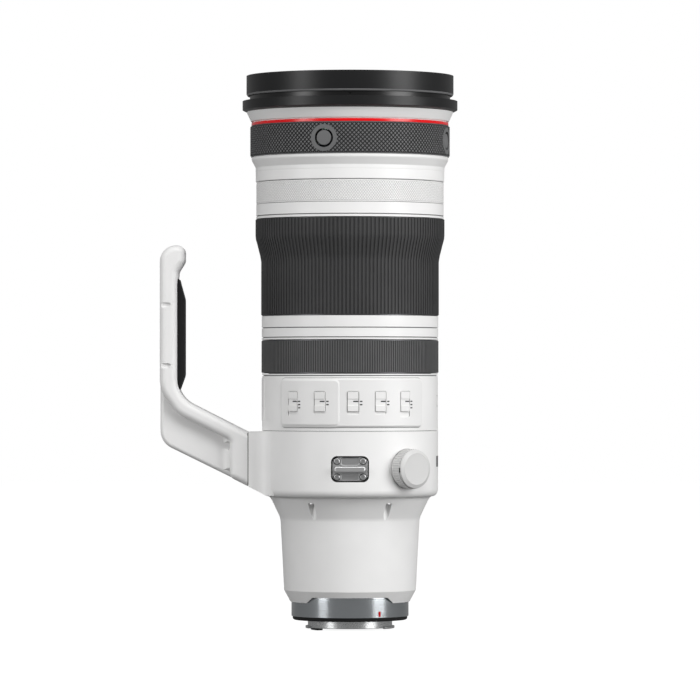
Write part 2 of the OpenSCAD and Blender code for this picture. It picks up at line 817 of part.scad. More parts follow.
module barrel_screws() {
    color("#c9ccce")
        for (i = [0:barrel_screw_count - 1])
            rotate([0, 0, barrel_screw_az + 360 * i / barrel_screw_count])
                translate([0, -barrel_screw_circle, shoulder_z - barrel_screw_head_h]) {
                    cylinder(r = barrel_screw_head_r, h = barrel_screw_head_h);
                    cylinder(r = barrel_screw_r, h = barrel_screw_head_h + barrel_screw_h);
                }
}

// Side outline of the collar block, x outwards and y up from the collar base
module block_outline() {
    polygon([
        [collar_r - collar_fillet_d, 0],
        [joint_x, joint_low],
        [joint_x, joint_high],
        [0, joint_high],
        [0, 0]
    ]);
}

module collar_ring() {
    seat_r = knob_r + turn_gap;
    color("#e6e5e1")
        difference() {
            union() {
                rotate_extrude()
                    polygon([
                        [tube_r, z_collar],
                        [collar_r - collar_fillet_d, z_collar],
                        [collar_r - collar_fillet_d * fillet_share,
                            z_collar + collar_fillet_h * fillet_share],
                        [collar_r, z_collar + collar_fillet_h],
                        [collar_r, z_collar + collar_h],
                        [tube_r, z_collar + collar_h]
                    ]);
                translate([0, block_w / 2, z_collar])
                    mirror([1, 0, 0])
                        rotate([90, 0, 0])
                            linear_extrude(block_w)
                                block_outline();
                facing(knob_az, knob_z, 0)
                    cylinder(r = seat_r, h = knob_seat);
            }
            translate([0, 0, z_collar - over])
                cylinder(r = tube_r + run_gap, h = collar_h + 2 * over);
            facing(knob_az, knob_z, knob_seat)
                cylinder(r = seat_r, h = knob_h);
            facing(knob_az, knob_z, 0)
                cylinder(r = knob_shank_r + run_gap, h = knob_seat + over);
            for (az = [0, 180])
                facing(az, knob_z, lug_floor) {
                    linear_extrude(collar_r)
                        round_rect(lug_pocket_w, lug_pocket_h, lug_pocket_corner);
                    lug_screw_places()
                        translate([0, 0, -over])
                            cylinder(r = lug_screw_r + seat_gap, h = 2 * over);
                }
            foot_screw_places()
                translate([0, 0, -foot_screw_grip - seat_gap])
                    cylinder(r = foot_screw_r + seat_gap, h = foot_screw_grip + over);
        }
}

// Places of the foot screws, with Z pointing away from the lens
module foot_screw_places() {
    up = (joint_low + joint_high) / 2;
    for (y = [-1, 1], s = [-1, 1])
        translate([-joint_x, y * foot_screw_span / 2,
            z_collar + up + s * (joint_high - joint_low) * foot_screw_share])
            rotate([0, -90, 0])
                children();
}

module lug_screw_places() {
    for (x = [-1, 1], y = [-1, 1])
        translate([x * lug_screw_span_w / 2, y * lug_screw_span_h / 2])
            children();
}

module strap_lugs() {
    rise = strap_gap + strap_bar_t;
    color("#9a9ea1")
        for (az = [0, 180])
            facing(az, knob_z, lug_floor) {
                difference() {
                    linear_extrude(lug_plate_t)
                        round_rect(lug_plate_w, lug_plate_h, lug_pocket_corner - lug_plate_t);
                    lug_screw_places()
                        translate([0, 0, -over])
                            cylinder(r = lug_screw_r + seat_gap, h = lug_plate_t + 2 * over);
                }
                translate([0, strap_bar_h / 2, lug_plate_t])
                    rotate([90, 0, 0])
                        linear_extrude(strap_bar_h)
                            difference() {
                                polygon(rounded([
                                    [-strap_bar_w / 2, 0, 0],
                                    [-strap_bar_w / 2 + strap_gap / 2, rise, strap_bar_t],
                                    [strap_bar_w / 2 - strap_gap / 2, rise, strap_bar_t],
                                    [strap_bar_w / 2, 0, 0]
                                ]));
                                polygon([
                                    [-strap_bar_w / 2 + strap_bar_t, 0],
                                    [-strap_bar_w / 2 + strap_gap, strap_gap],
                                    [strap_bar_w / 2 - strap_gap, strap_gap],
                                    [strap_bar_w / 2 - strap_bar_t, 0]
                                ]);
                            }
            }
}

module lug_screws() {
    color("#c9ccce")
        for (az = [0, 180])
            facing(az, knob_z, lug_floor)
                lug_screw_places() {
                    translate([0, 0, lug_plate_t])
                        cylinder(r = lug_screw_head_r, h = lug_screw_head_h);
                    translate([0, 0, seat_gap - over])
                        cylinder(r = lug_screw_r, h = lug_plate_t - seat_gap + over);
                }
}

module lock_knob() {
    color("#e6e5e1")
        facing(knob_az, knob_z, knob_seat + turn_gap)
            rotate_extrude()
                polygon(rounded([
                    [0, 0, 0],
                    [knob_r, 0, 0],
                    [knob_r, knob_h * knob_skirt_share, 0],
                    [knob_r - knob_h * knob_bevel_share, knob_h * knob_skirt_share, 0],
                    [knob_top_r, knob_h, 0],
                    [0, knob_h, 0]
                ]));
    color("#9a9ea1")
        facing(knob_az, knob_z, tube_r + turn_gap + run_gap)
            cylinder(r = knob_shank_r, h = knob_seat - tube_r);
}

// Side outline of the foot, x outwards from the lens axis and y up from the collar base
module foot_outline() {
    polygon(rounded([
        [joint_x, joint_low, 0],
        [foot_x - web_inset, heel_up, heel_r],
        [foot_x - web_inset, web_up, 0],
        [foot_x, web_up + web_inset, 0],
        [foot_x, hook_up, hook_r],
        [bar_in_x - hook_reach, hook_up, hook_reach / 2],
        [bar_in_x - hook_reach, hook_up - hook_h * hook_tip_share, hook_reach / 2],
        [bar_in_x, hook_up - hook_h * hook_root_share, hook_r],
        [bar_in_x, curve_up + curve_r, 0],
        [bar_in_x, curve_up + (bar_in_x - curve_x) / 2, curve_r],
        [joint_x, joint_high, 0]
    ]));
}

// Outline of the hollow in the side of the foot, open to the outer and lower faces
module web_outline() {
    slope = (curve_up - joint_high) / (curve_x - joint_x);
    polygon(rounded([
        [web_wall_x, -over, 0],
        [foot_x + over, -over, 0],
        [foot_x + over, web_up, 0],
        [foot_x - web_inset, web_up, 0],
        [foot_x - web_inset, joint_high + slope * (foot_x - web_inset - joint_x) - web_arm_h,
            web_curve_r],
        [web_wall_x, joint_high + slope * (web_wall_x - joint_x) - web_arm_h, web_corner_r]
    ]));
}

module tripod_foot() {
    pocket_floor = foot_w / 2 - web_pocket_d;
    color("#e6e5e1")
        translate([0, 0, z_collar])
            difference() {
                intersection() {
                    translate([0, foot_w / 2, 0])
                        mirror([1, 0, 0])
                            rotate([90, 0, 0])
                                linear_extrude(foot_w)
                                    foot_outline();
                    translate([-foot_x, -foot_w / 2, 0])
                        linear_extrude(hook_up + over)
                            polygon(rounded([
                                [0, 0, foot_edge],
                                [foot_x - joint_x, 0, 0],
                                [foot_x - joint_x, foot_w, 0],
                                [0, foot_w, foot_edge]
                            ]));
                }
                for (side = [-1, 1])
                    translate([0, side > 0 ? foot_w / 2 + over : -pocket_floor, 0])
                        mirror([1, 0, 0])
                            rotate([90, 0, 0])
                                linear_extrude(web_pocket_d + over)
                                    web_outline();
                for (side = [-1, 1], up = [side_notch_low, side_notch_high])
                    translate([-foot_x - over, side * foot_w / 2 - side_notch_d, up])
                        cube([side_notch_x + over, 2 * side_notch_d, side_notch_h]);
                socket(small_socket_r, small_socket_up);
                socket(large_socket_r, large_socket_up);
                translate([0, 0, -z_collar])
                    foot_screw_places() {
                        translate([0, 0, -over])
                            cylinder(r = foot_screw_r + seat_gap, h = foot_x);
                        translate([0, 0, (web_wall_x - joint_x) / 2])
                            cylinder(r = foot_screw_head_r + seat_gap,
                                h = (web_wall_x - joint_x) / 2 + over);
                    }
            }
}

// A tripod socket in the outer face of the foot
module socket(r, up) {
    translate([-foot_x - over, 0, up])
        rotate([0, 90, 0])
            cylinder(r = r, h = socket_d + over);
}

module foot_screws() {
    color("#c9ccce")
        foot_screw_places() {
            translate([0, 0, -foot_screw_grip])
                cylinder(r = foot_screw_r, h = foot_screw_grip + (web_wall_x - joint_x) / 2);
            translate([0, 0, (web_wall_x - joint_x) / 2])
                cylinder(r = foot_screw_head_r, h = foot_screw_head_h);
        }
}

module foot_pad() {
    color("#222326")
        translate([0, pad_w / 2, z_collar])
            mirror([1, 0, 0])
                rotate([90, 0, 0])
                    linear_extrude(pad_w)
                        difference() {
                            polygon(rounded([
                                [bar_in_x, pad_low, 0],
                                [bar_in_x, pad_high, 0],
                                [bar_in_x - pad_t * pad_back_share, pad_high, 0],
                                [bar_in_x - pad_t, pad_high - pad_t * 2, pad_t],
                                [bar_in_x - pad_t, pad_low + pad_t * 2, pad_t],
                                [bar_in_x - pad_t * pad_back_share, pad_low, 0]
                            ]));
                            foot_outline();
                        }
}

// The well of one switch, as a radial block
module switch_well(i) {
    facing(switch_az[i], 0, well_floor)
        translate([-slider_w / 2 - turn_gap,
            z_switch + slider_top - slider_h - switch_travels[i] - turn_gap, 0])
            cube([slider_w + 2 * turn_gap, slider_h + switch_travels[i] + 2 * turn_gap,
                slider_len + over]);
}

module switch_barrel() {
    color("#e6e5e1")
        difference() {
            ring(switch_r, sleeve_in, z_switch, switch_h);
            for (i = [0:len(switch_az) - 1])
                switch_well(i);
        }
}

module switch_panel() {
    color("#dddcd8")
        difference() {
            union() {
                sector(switch_r + seat_gap, panel_r, panel_z, panel_h,
                    panel_az_low, panel_az_high);
                sector(panel_r - panel_step, panel_high_r, panel_z, panel_h,
                    panel_az_low, panel_az_step);
            }
            for (i = [0:len(switch_az) - 1])
                switch_well(i);
        }
}

module slider(i) {
    row_h = slider_h / (2 * slider_rows + 1);
    color("#dcdbd7")
        facing(switch_az[i], 0, slider_floor)
            translate([-slider_w / 2, z_switch + slider_top - slider_h, 0]) {
                cube([slider_w, slider_h, slider_len - slider_rib]);
                for (row = [0:slider_rows - 1])
                    translate([0, row_h * (2 * row + 1), 0])
                        cube([slider_w, row_h, slider_len]);
            }
}

module switch_1() {
    slider(0);
}

module switch_2() {
    slider(1);
}

module switch_3() {
    slider(2);
}

module switch_4() {
    slider(3);
}

module switch_5() {
    slider(4);
}

module focus_core() {
    lip_r = focus_r - grip_lip;
    color("#45474a")
        rotate_extrude()
            polygon([
                [ring_in, z_focus],
                [lip_r, z_focus],
                [lip_r, z_focus + grip_lip],
                [focus_r - grip_t, z_focus + grip_lip],
                [focus_r - grip_t, z_focus + focus_h - grip_lip],
                [lip_r, z_focus + focus_h - grip_lip],
                [lip_r, z_focus + focus_h],
                [ring_in, z_focus + focus_h]
            ]);
}

module focus_grip() {
    color("#55575a")
        ring(focus_r, focus_r - grip_t + seat_gap, z_focus + grip_lip,
            focus_h - 2 * grip_lip);
}

module mid_sleeve() {
    color("#e6e5e1")
        ring(mid_r, sleeve_in, z_mid, mid_h);
}

// Outline of the zoom ring, moved inwards by depth
function zoom_profile(depth) = [
    [zoom_small_r - depth, z_zoom + grip_lip],
    [zoom_small_r - depth, z_zoom + zoom_small_h],
    for (share = zoom_cone_shares)
        [zoom_small_r - depth + (zoom_large_r - zoom_small_r) * share[0],
            z_zoom + zoom_small_h + (zoom_h - zoom_large_h - zoom_small_h) * share[1]],
    [zoom_large_r - depth, z_zoom + zoom_h - zoom_large_h],
    [zoom_large_r - depth, z_zoom + zoom_h - grip_lip]
];

module zoom_core() {
    color("#45474a") {
        rotate_extrude()
            polygon(concat(
                [[ring_in, z_zoom], [zoom_small_r - grip_lip, z_zoom],
                    [zoom_small_r - grip_lip, z_zoom + grip_lip]],
                zoom_profile(grip_t),
                [[zoom_large_r - grip_lip, z_zoom + zoom_h - grip_lip],
                    [zoom_large_r - grip_lip, z_zoom + zoom_h], [ring_in, z_zoom + zoom_h]]
            ));
        zoom_key(0);
    }
}

// The key that turns the cam tube, with a gap all round
module zoom_key(gap) {
    half_arc = (key_w / 2 + gap) / tube_r * 180 / PI;
    sector(cam_in, ring_in + (gap > 0 ? 0 : cam_wall), z_key - key_h / 2 - gap,
        key_h + 2 * gap, -half_arc, half_arc);
}

module zoom_grip() {
    color("#323437")
        rotate_extrude()
            polygon(concat(zoom_profile(grip_t - seat_gap), reversed(zoom_profile(0))));
}

// Azimuth of a roller place round the tubes
function roller_az(place) = 360 * place / roller_count;

// A helical slot in the cam tube for a roller that moves by travel over the zoom turn
module cam_slot(az, z, travel) {
    steps = 14;
    mean_r = (cam_r + cam_in) / 2;
    half = roller_r + turn_gap;
    lead = travel / zoom_turn;
    pitch = atan(lead * 180 / PI / mean_r);
    half_z = half / cos(pitch);
    spare = half / mean_r * 180 / PI;
    points = [
        for (i = [0:steps])
            let (turn = -spare + (zoom_turn + 2 * spare) * i / steps)
            for (c = [[-1, -1], [1, -1], [1, 1], [-1, 1]])
                let (r = mean_r + c[0] * 2 * cam_wall)
                [r * sin(az - turn), -r * cos(az - turn), z + lead * turn + c[1] * half_z]
    ];
    sides = [
        for (i = [0:steps - 1], k = [0:3])
            let (a = 4 * i + k, b = 4 * i + (k + 1) % 4)
            each [[a, a + 4, b], [b, a + 4, b + 4]]
    ];
    last = 4 * steps;
    ends = [[0, 1, 2], [0, 2, 3], [last, last + 2, last + 1], [last, last + 3, last + 2]];
    polyhedron(points, concat(sides, ends));
}

module cam_tube() {
    color("#6c6e70")
        difference() {
            ring(cam_r, cam_in, cam_low, cam_high - cam_low);
            for (i = [0:roller_count - 1]) {
                cam_slot(roller_az(i), z_variator, -variator_travel);
                cam_slot(roller_az(i + 1 / 2), z_compensator, compensator_travel);
            }
            zoom_key(seat_gap);
        }
}

module main_tube() {
    half_arc = (key_w / 2 + turn_gap) / tube_r * 180 / PI;
    color("#505254")
        difference() {
            union() {
                ring(tube_r, tube_in, z_switch, z_cone_base + front_high_h / 2 - z_switch);
                ring(tube_r, rod_circle - rod_r - tube_wall, z_rod_plate, rod_plate_t);
            }
            sector(tube_in - over, tube_r + over, z_key - key_h / 2 - turn_gap,
                key_h + 2 * turn_gap, -half_arc, half_arc + zoom_turn);
            for (i = [0:roller_count - 1]) {
                roller_slot(roller_az(i), z_variator - variator_travel, variator_travel);
                roller_slot(roller_az(i + 1 / 2), z_compensator, compensator_travel);
            }
            rod_places()
                translate([0, 0, z_rod_plate - over])
                    cylinder(r = rod_r + seat_gap, h = rod_plate_t + 2 * over);
        }
}

// A straight slot in the main tube for a roller
module roller_slot(az, z, travel) {
    half = roller_r + run_gap;
    facing(az, z, tube_in - over)
        translate([-half, -half, 0])
            cube([2 * half, travel + 2 * half, tube_wall + 2 * over]);
}

module rod_places() {
    for (side = [-1, 1])
        translate([0, side * rod_circle, 0])
            children();
}

// A moving cell with its rollers, the first one standing at place start
module roller_cell(z, glass_r, start) {
    ring(cell_r, glass_r + seat_gap, z - cell_h / 2, cell_h);
    for (i = [0:roller_count - 1])
        facing(roller_az(start + i), z, cell_r - tube_wall)
            cylinder(r = roller_r, h = tube_r - cell_r + tube_wall - turn_gap);
}

module variator_cell() {
    color("#2a2b2d")
        roller_cell(z_variator, variator_glass_r, 0);
}

module compensator_cell() {
    color("#2a2b2d")
        roller_cell(z_compensator, compensator_glass_r, 1 / 2);
}

// The glass of a roller cell, about height z
module cell_glass(r, z) {
    edge = cell_h * cell_edge_share;
    bulge = cell_h * cell_bulge_share;
    glass(r, edge, bulge, bulge, z - edge / 2);
}

module variator_glass() {
    color("#a9c6c9")
        cell_glass(variator_glass_r, z_variator);
}

module compensator_glass() {
    color("#a9c6c9")
        cell_glass(compensator_glass_r, z_compensator);
}

module front_sleeve() {
    color("#e6e5e1") {
        ring(front_r, sleeve_in, z_front, front_low_h);
        ring(control_seat_r, sleeve_in, z_front, z_cone_base - z_front);
    }
}

module control_ring() {
    color("#e6e5e1")
        ring(front_r, control_in, z_control + end_gap, control_h);
}

module front_cone() {
    base_h = front_high_h / 2;
    color("#e6e5e1")
        rotate_extrude()
            polygon([
                [sleeve_in, z_cone_base],
                [front_r, z_cone_base],
                [front_r, z_cone],
                [cone_r, z_cone + cone_h],
                [cone_r, z_band],
                [carrier_r, z_band],
                [carrier_r, z_flange],
                [carrier_in, z_flange],
                [carrier_in, z_glass - front_glass_pitch - front_glass_edge],
                [sleeve_in + front_cell_wall, z_glass - front_glass_pitch - front_glass_edge],
                [sleeve_in, z_cone_base + base_h]
            ]);
}

module button_band() {
    z_mid_band = z_band + band_h / 2;
    color("#58595b")
        difference() {
            rotate_extrude()
                polygon([
                    [carrier_r + seat_gap, z_band],
                    [band_r, z_band],
                    [band_r, z_red - band_edge],
                    [band_r - band_edge, z_red],
                    [carrier_r + seat_gap, z_red]
                ]);
            for (i = [0:button_count - 1])
                facing(button_az + 360 * i / button_count, z_mid_band, band_r - button_well_d)
                    cylinder(r = button_well_r, h = button_well_d + over);
        }
}

module function_button(i) {
    floor_gap = turn_gap / 2 + button_travel;
    color("#66676a")
        facing(button_az + 360 * i / button_count, z_band + band_h / 2, band_r - button_well_d + floor_gap)
            rotate_extrude()
                polygon(rounded([
                    [0, 0, 0],
                    [button_r, 0, 0],
                    [button_r, button_well_d - floor_gap, button_travel / 2],
                    [0, button_well_d - floor_gap, 0]
                ]));
}

module button_1() {
    function_button(0);
}

module button_2() {
    function_button(1);
}

module button_3() {
    function_button(2);
}

module button_4() {
    function_button(3);
}

module red_ring() {
    color("#d8151f")
        rotate_extrude()
            polygon([
                [carrier_r + seat_gap, z_red],
                [red_r - red_seat, z_red],
                [red_r - red_seat, z_red + red_seat],
                [red_r, z_red + red_seat],
                [red_r, z_red_top],
                [carrier_r + seat_gap, z_red_top]
            ]);
}

module front_barrel() {
    color("#e6e5e1")
        rotate_extrude()
            polygon([
                [carrier_r + seat_gap, z_red_top],
                [red_r - red_seat, z_red_top],
                [red_r - red_seat, z_flare],
                [flare_low_r, z_flare],
                [flare_high_r, z_flange],
                [carrier_r + seat_gap, z_flange]
            ]);
}

module front_ring() {
    color("#1d1e20")
        difference() {
            rotate_extrude()
                polygon(rounded([
                    [carrier_in, z_flange, 0],
                    [flare_high_r, z_flange, 0],
                    [hood_flange_r, z_flange + hood_chamfer_h, 0],
                    [hood_flange_r, z_groove, 0],
                    [hood_groove_r, z_groove, 0],
                    [hood_groove_r, z_rim, 0],
                    [rim_r, z_rim, 0],
                    [rim_r, z_top, rim_edge],
                    [filter_r, z_top, 0],
                    [filter_r, z_top - filter_d, 0],
                    [carrier_in, z_top - filter_d, 0]
                ]));
            for (i = [0:set_hole_count - 1])
                facing(360 * i / set_hole_count, z_groove + hood_groove_h / 2, carrier_in + over)
                    cylinder(r = set_hole_r, h = rim_r);
        }
}

module front_cell() {
    lip_in = front_glass_r - front_cell_wall;
    color("#1b1c1e")
        rotate_extrude()
            polygon([
                [front_glass_r + seat_gap, z_glass - front_glass_pitch - front_glass_edge],
                [cell_out, z_glass - front_glass_pitch - front_glass_edge],
                [cell_out, z_top - filter_d],
                [lip_in, z_top - filter_d],
                [lip_in, z_glass + front_glass_bulge * front_lip_share],
                [front_glass_r + seat_gap, z_glass + seat_gap]
            ]);
}

module front_glass() {
    back = front_glass_bulge * front_back_share;
    color("#a9c6c9") {
        glass(front_glass_r, front_glass_edge, back, front_glass_bulge,
            z_glass - front_glass_edge);
        glass(front_glass_r, front_glass_edge, back, front_glass_bulge / 2,
            z_glass - front_glass_pitch);
    }
}

module guide_rods() {
    color("#c9ccce")
        rod_places()
            translate([0, 0, z_steady + seat_gap])
                cylinder(r = rod_r, h = z_rod_plate + rod_plate_t - z_steady - 2 * seat_gap);
}

module focus_cell() {
    z = focus_rest_z;
    color("#2a2b2d")
        difference() {
            union() {
                ring(focus_glass_r + 2 * tube_wall, focus_glass_r + seat_gap, z, focus_cell_h);
                rod_places()
                    translate([0, 0, z])
                        cylinder(r = rod_r + tube_wall, h = focus_cell_h);
                for (side = [-1, 1])
                    translate([-rod_r, side > 0 ? focus_glass_r + tube_wall : -rod_circle, z])
                        cube([2 * rod_r, rod_circle - focus_glass_r - tube_wall, focus_cell_h]);
            }
            rod_places()
                translate([0, 0, z - over])
                    cylinder(r = rod_r + run_gap, h = focus_cell_h + 2 * over);
        }
}

module focus_glass() {
    edge = focus_cell_h * focus_edge_share;
    bulge = focus_cell_h * cell_bulge_share;
    color("#a9c6c9")
        glass(focus_glass_r, edge, bulge, bulge, focus_rest_z + edge);
}

module focus_motors() {
    color("#8f9396")
        for (side = [-1, 1])
            translate([side * (inner_r - motor_r - tube_wall), 0, z_rod_plate - motor_h])
                cylinder(r = motor_r, h = motor_h);
}

// The stabiliser base carries the rods on its rim
module stabilizer_base() {
    color("#3a3b3e")
        difference() {
            ring(inner_r, steady_glass_r + steady_travel + turn_gap, z_steady, steady_plate_t);
            rod_places()
                translate([0, 0, z_steady - over])
                    cylinder(r = rod_r + seat_gap, h = steady_plate_t + 2 * over);
        }
}

module stabilizer_frame() {
    outer = rod_circle - rod_r - steady_travel - turn_gap;
    color("#55575a")
        ring(outer, steady_glass_r + 2 * steady_travel + turn_gap, z_steady_top + end_gap,
            steady_plate_t);
}

module stabilizer_cell() {
    outer = rod_circle - rod_r - 2 * steady_travel - 2 * turn_gap;
    color("#2a2b2d")
        ring(outer, steady_glass_r + seat_gap, z_steady_top + 2 * end_gap + steady_plate_t,
            2 * steady_plate_t);
}

module stabilizer_glass() {
    color("#a9c6c9")
        glass(steady_glass_r, steady_plate_t, steady_plate_t / 2, steady_plate_t / 2,
            z_steady_top + 2 * end_gap + steady_glass_share * steady_plate_t);
}

module iris_base() {
    color("#3a3b3e") {
        ring(inner_r, iris_open_r + tube_wall, z_iris, iris_base_t);
        ring(inner_r, inner_r - tube_wall, z_iris,
            iris_base_t + (iris_blade_count + 1) * 2 * iris_blade_t);
    }
}

module iris_blades() {
    blade_w = iris_open_r / 2;
    color("#1b1c1e")
        for (i = [0:iris_blade_count - 1])
            rotate([0, 0, 360 * i / iris_blade_count])
                sector(iris_open_r, iris_open_r + blade_w,
                    z_iris + iris_base_t + i * blade_pitch_share * iris_blade_t, iris_blade_t,
                    0, iris_blade_arc);
}

module rear_cell() {
    color("#2a2b2d") {
        ring(rear_cell_r, rear_glass_r + seat_gap, z_rear_cell, z_board - z_rear_cell);
        ring(inner_r, rear_cell_r - rear_wall, z_board - tube_wall, tube_wall);
    }
}

module rear_glass() {
    cell_len = z_board - z_rear_cell;
    edge = rear_glass_r * rear_edge_share;
    color("#a9c6c9")
        for (share = rear_glass_shares)
            glass(rear_glass_r, edge, edge / 2, edge / 2, z_rear_cell + share * cell_len);
}

module circuit_board() {
    color("#1f6b46")
        ring(inner_r, rear_cell_r - rear_wall, z_board, board_t);
}

mount_ring();
bayonet();
bayonet_screws();
mount_seal();
contact_block();
rear_baffle();
rear_barrel();
bearing_tube();
barrel_screws();
collar_ring();
tripod_foot();
foot_pad();
foot_screws();
strap_lugs();
lug_screws();
lock_knob();
switch_barrel();
switch_panel();
switch_1();
switch_2();
switch_3();
switch_4();
switch_5();
focus_core();
focus_grip();
mid_sleeve();
zoom_core();
zoom_grip();
cam_tube();
front_sleeve();
control_ring();
front_cone();
button_band();
button_1();
button_2();
button_3();
button_4();
red_ring();
front_barrel();
front_ring();
front_cell();
front_glass();
main_tube();
variator_cell();
variator_glass();
compensator_cell();
compensator_glass();
guide_rods();
focus_cell();
focus_glass();
focus_motors();
stabilizer_base();
stabilizer_frame();
stabilizer_cell();
stabilizer_glass();
iris_base();
iris_blades();
rear_cell();
rear_glass();
circuit_board();
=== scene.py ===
import json
from math import acos, atan2, cos, degrees, hypot, pi, radians, sin, sqrt, tan

import bpy
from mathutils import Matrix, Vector


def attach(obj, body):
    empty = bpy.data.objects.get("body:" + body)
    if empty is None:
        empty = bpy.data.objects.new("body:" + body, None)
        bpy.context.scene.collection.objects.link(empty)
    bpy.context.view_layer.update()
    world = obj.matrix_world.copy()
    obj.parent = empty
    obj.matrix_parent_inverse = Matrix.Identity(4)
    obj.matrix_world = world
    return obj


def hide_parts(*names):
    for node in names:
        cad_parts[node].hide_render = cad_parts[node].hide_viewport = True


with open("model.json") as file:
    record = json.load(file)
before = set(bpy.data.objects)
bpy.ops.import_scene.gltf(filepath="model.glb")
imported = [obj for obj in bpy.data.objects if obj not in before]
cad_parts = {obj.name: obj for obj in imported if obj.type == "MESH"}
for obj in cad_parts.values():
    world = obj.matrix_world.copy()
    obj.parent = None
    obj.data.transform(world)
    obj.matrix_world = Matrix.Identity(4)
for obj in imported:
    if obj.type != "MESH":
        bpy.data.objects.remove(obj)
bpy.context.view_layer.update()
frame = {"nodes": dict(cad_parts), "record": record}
nodes = frame["nodes"]
mm = 0.001


def clearSelection():
    bpy.ops.object.select_all(action="DESELECT")


def activate(piece):
    clearSelection()
    piece.select_set(True)
    bpy.context.view_layer.objects.active = piece


def added(operator, **settings):
    clearSelection()
    operator(**settings)
    return bpy.context.object


def applyPlace(piece):
    activate(piece)
    bpy.ops.object.transform_apply(location=True, rotation=True, scale=True)


# Turns a piece by degrees, moves it to a place in millimetres and applies both
def moveTo(piece, place, turn=(0, 0, 0)):
    piece.rotation_euler = [radians(angle) for angle in turn]
    piece.location = [value * mm for value in place]
    applyPlace(piece)
    return piece


# The place at that azimuth: 0 is towards the camera, 90 at its right
def onCircle(radius, azimuth, height=0):
    turn = radians(azimuth)
    return radius * sin(turn), -radius * cos(turn), height


# A piece made upright about the origin, its Z turned outwards from the lens axis
def setOnBarrel(piece, azimuth, height, radius):
    return moveTo(piece, onCircle(radius, azimuth, height), (90, 0, azimuth))


def applyModifier(piece, kind, **settings):
    activate(piece)
    modifier = piece.modifiers.new(kind.title(), kind)
    for key, value in settings.items():
        setattr(modifier, key, value)
    bpy.ops.object.modifier_apply(modifier=modifier.name)


def editAll(piece, kind="VERT", action="SELECT"):
    activate(piece)
    bpy.ops.object.mode_set(mode="EDIT")
    bpy.ops.mesh.select_mode(type=kind)
    bpy.ops.mesh.select_all(action=action)


def leaveEdit():
    bpy.ops.object.mode_set(mode="OBJECT")


def editWhole(piece, operator, **settings):
    editAll(piece)
    operator(**settings)
    leaveEdit()


# Runs an edit mode operator on only those faces, or edges, that the test accepts
def editPicked(piece, kind, test, operator, **settings):
    editAll(piece, kind, "DESELECT")
    leaveEdit()
    for item in piece.data.edges if kind == "EDGE" else piece.data.polygons:
        item.select = test(item)
    bpy.ops.object.mode_set(mode="EDIT")
    operator(**settings)
    leaveEdit()


def mendNormals(piece):
    editAll(piece)
    bpy.ops.mesh.remove_doubles(threshold=0.001 * mm)
    bpy.ops.mesh.normals_make_consistent(inside=False)
    leaveEdit()
    volume = sum(face.area * face.center.dot(face.normal) for face in piece.data.polygons)
    if volume < 0:  # the piece is inside out
        editWhole(piece, bpy.ops.mesh.flip_normals)


def bevelEdges(piece, width, segments=2, angle=38):
    applyModifier(piece, "BEVEL", width=width * mm, segments=segments, limit_method="ANGLE",
                  angle_limit=radians(angle), use_clamp_overlap=True)


def smoothFaces(piece, angle=42):
    activate(piece)
    bpy.ops.object.shade_smooth_by_angle(angle=radians(angle))
    applyModifier(piece, "WEIGHTED_NORMAL", keep_sharp=True, weight=90)


# Bevels the sharp edges a little and lets the large faces rule the shading
def roundEdges(piece, width, segments=2, angle=38):
    bevelEdges(piece, width, segments, angle)
    smoothFaces(piece)


def combine(piece, other, operation):
    applyModifier(piece, "BOOLEAN", operation=operation, solver="EXACT", object=other)
    bpy.data.objects.remove(other)


def cutAway(piece, cutter):
    combine(piece, cutter, "DIFFERENCE")


def joinPieces(pieces):
    activate(pieces[0])
    for piece in pieces:
        piece.select_set(True)
    bpy.ops.object.join()
    return pieces[0]


# Gives a finished piece its name and the finish of its slot, puts it on the body it rides on
# and hides the CAD nodes it stands for
def finishPiece(piece, name, slotName, *replaced, body="lens_body", finish=None):
    piece.name = name
    piece.data.name = name
    piece.data.materials.clear()
    piece.data.materials.append(materials[finish or finishOf(slotName)])
    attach(piece, body)
    if replaced:
        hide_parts(*replaced)


# Gives the faces that the test accepts a second finish
def paintFaces(piece, finish, test):
    piece.data.materials.append(materials[finish])
    index = len(piece.data.materials) - 1
    for face in piece.data.polygons:
        if test(face.center / mm, face.normal):
            face.material_index = index


# Gives the faces between two radii and two heights a second finish
def paintRing(piece, finish, inner, outer, low, high):
    paintFaces(piece, finish, lambda at, normal: inner < reach(at) < outer and low < at.z < high)


def reach(place):
    return hypot(place.x, place.y)


# A circle extruded along an outline of (radius, height): a closed ring, or a solid with flat ends
def turnedRing(outline, sides=256, solid=False):
    radius, height = outline[0]
    piece = added(bpy.ops.mesh.primitive_circle_add, vertices=sides, radius=radius * mm,
                  location=(0, 0, height * mm), fill_type="NGON" if solid else "NOTHING")
    applyPlace(piece)
    editAll(piece)
    extrude = bpy.ops.mesh.extrude_region_move if solid else bpy.ops.mesh.extrude_edges_move
    for nextRadius, nextHeight in outline[1:] + outline[:0 if solid else 1]:
        extrude(TRANSFORM_OT_translate={"value": (0, 0, (nextHeight - height) * mm)})
        factor = nextRadius / radius
        bpy.ops.transform.resize(value=(factor, factor, 1), center_override=(0, 0, nextHeight * mm))
        radius, height = nextRadius, nextHeight
    leaveEdit()
    mendNormals(piece)
    return piece


# A turned ring with the bevel that roundEdges takes, and its finish
def makeRing(outline, bevel, name, slotName, node):
    piece = turnedRing(outline)
    roundEdges(piece, *bevel)
    finishPiece(piece, name, slotName, node)


def addBlock(width, height, depth, place=(0, 0, 0)):
    piece = added(bpy.ops.mesh.primitive_cube_add, size=1)
    piece.scale = (width * mm, height * mm, depth * mm)
    return moveTo(piece, place)


def addRod(radius, depth, place=(0, 0, 0), sides=48, turn=(0, 0, 0)):
    rod = added(bpy.ops.mesh.primitive_cylinder_add, vertices=sides, radius=radius * mm,
                depth=depth * mm)
    return moveTo(rod, place, turn)


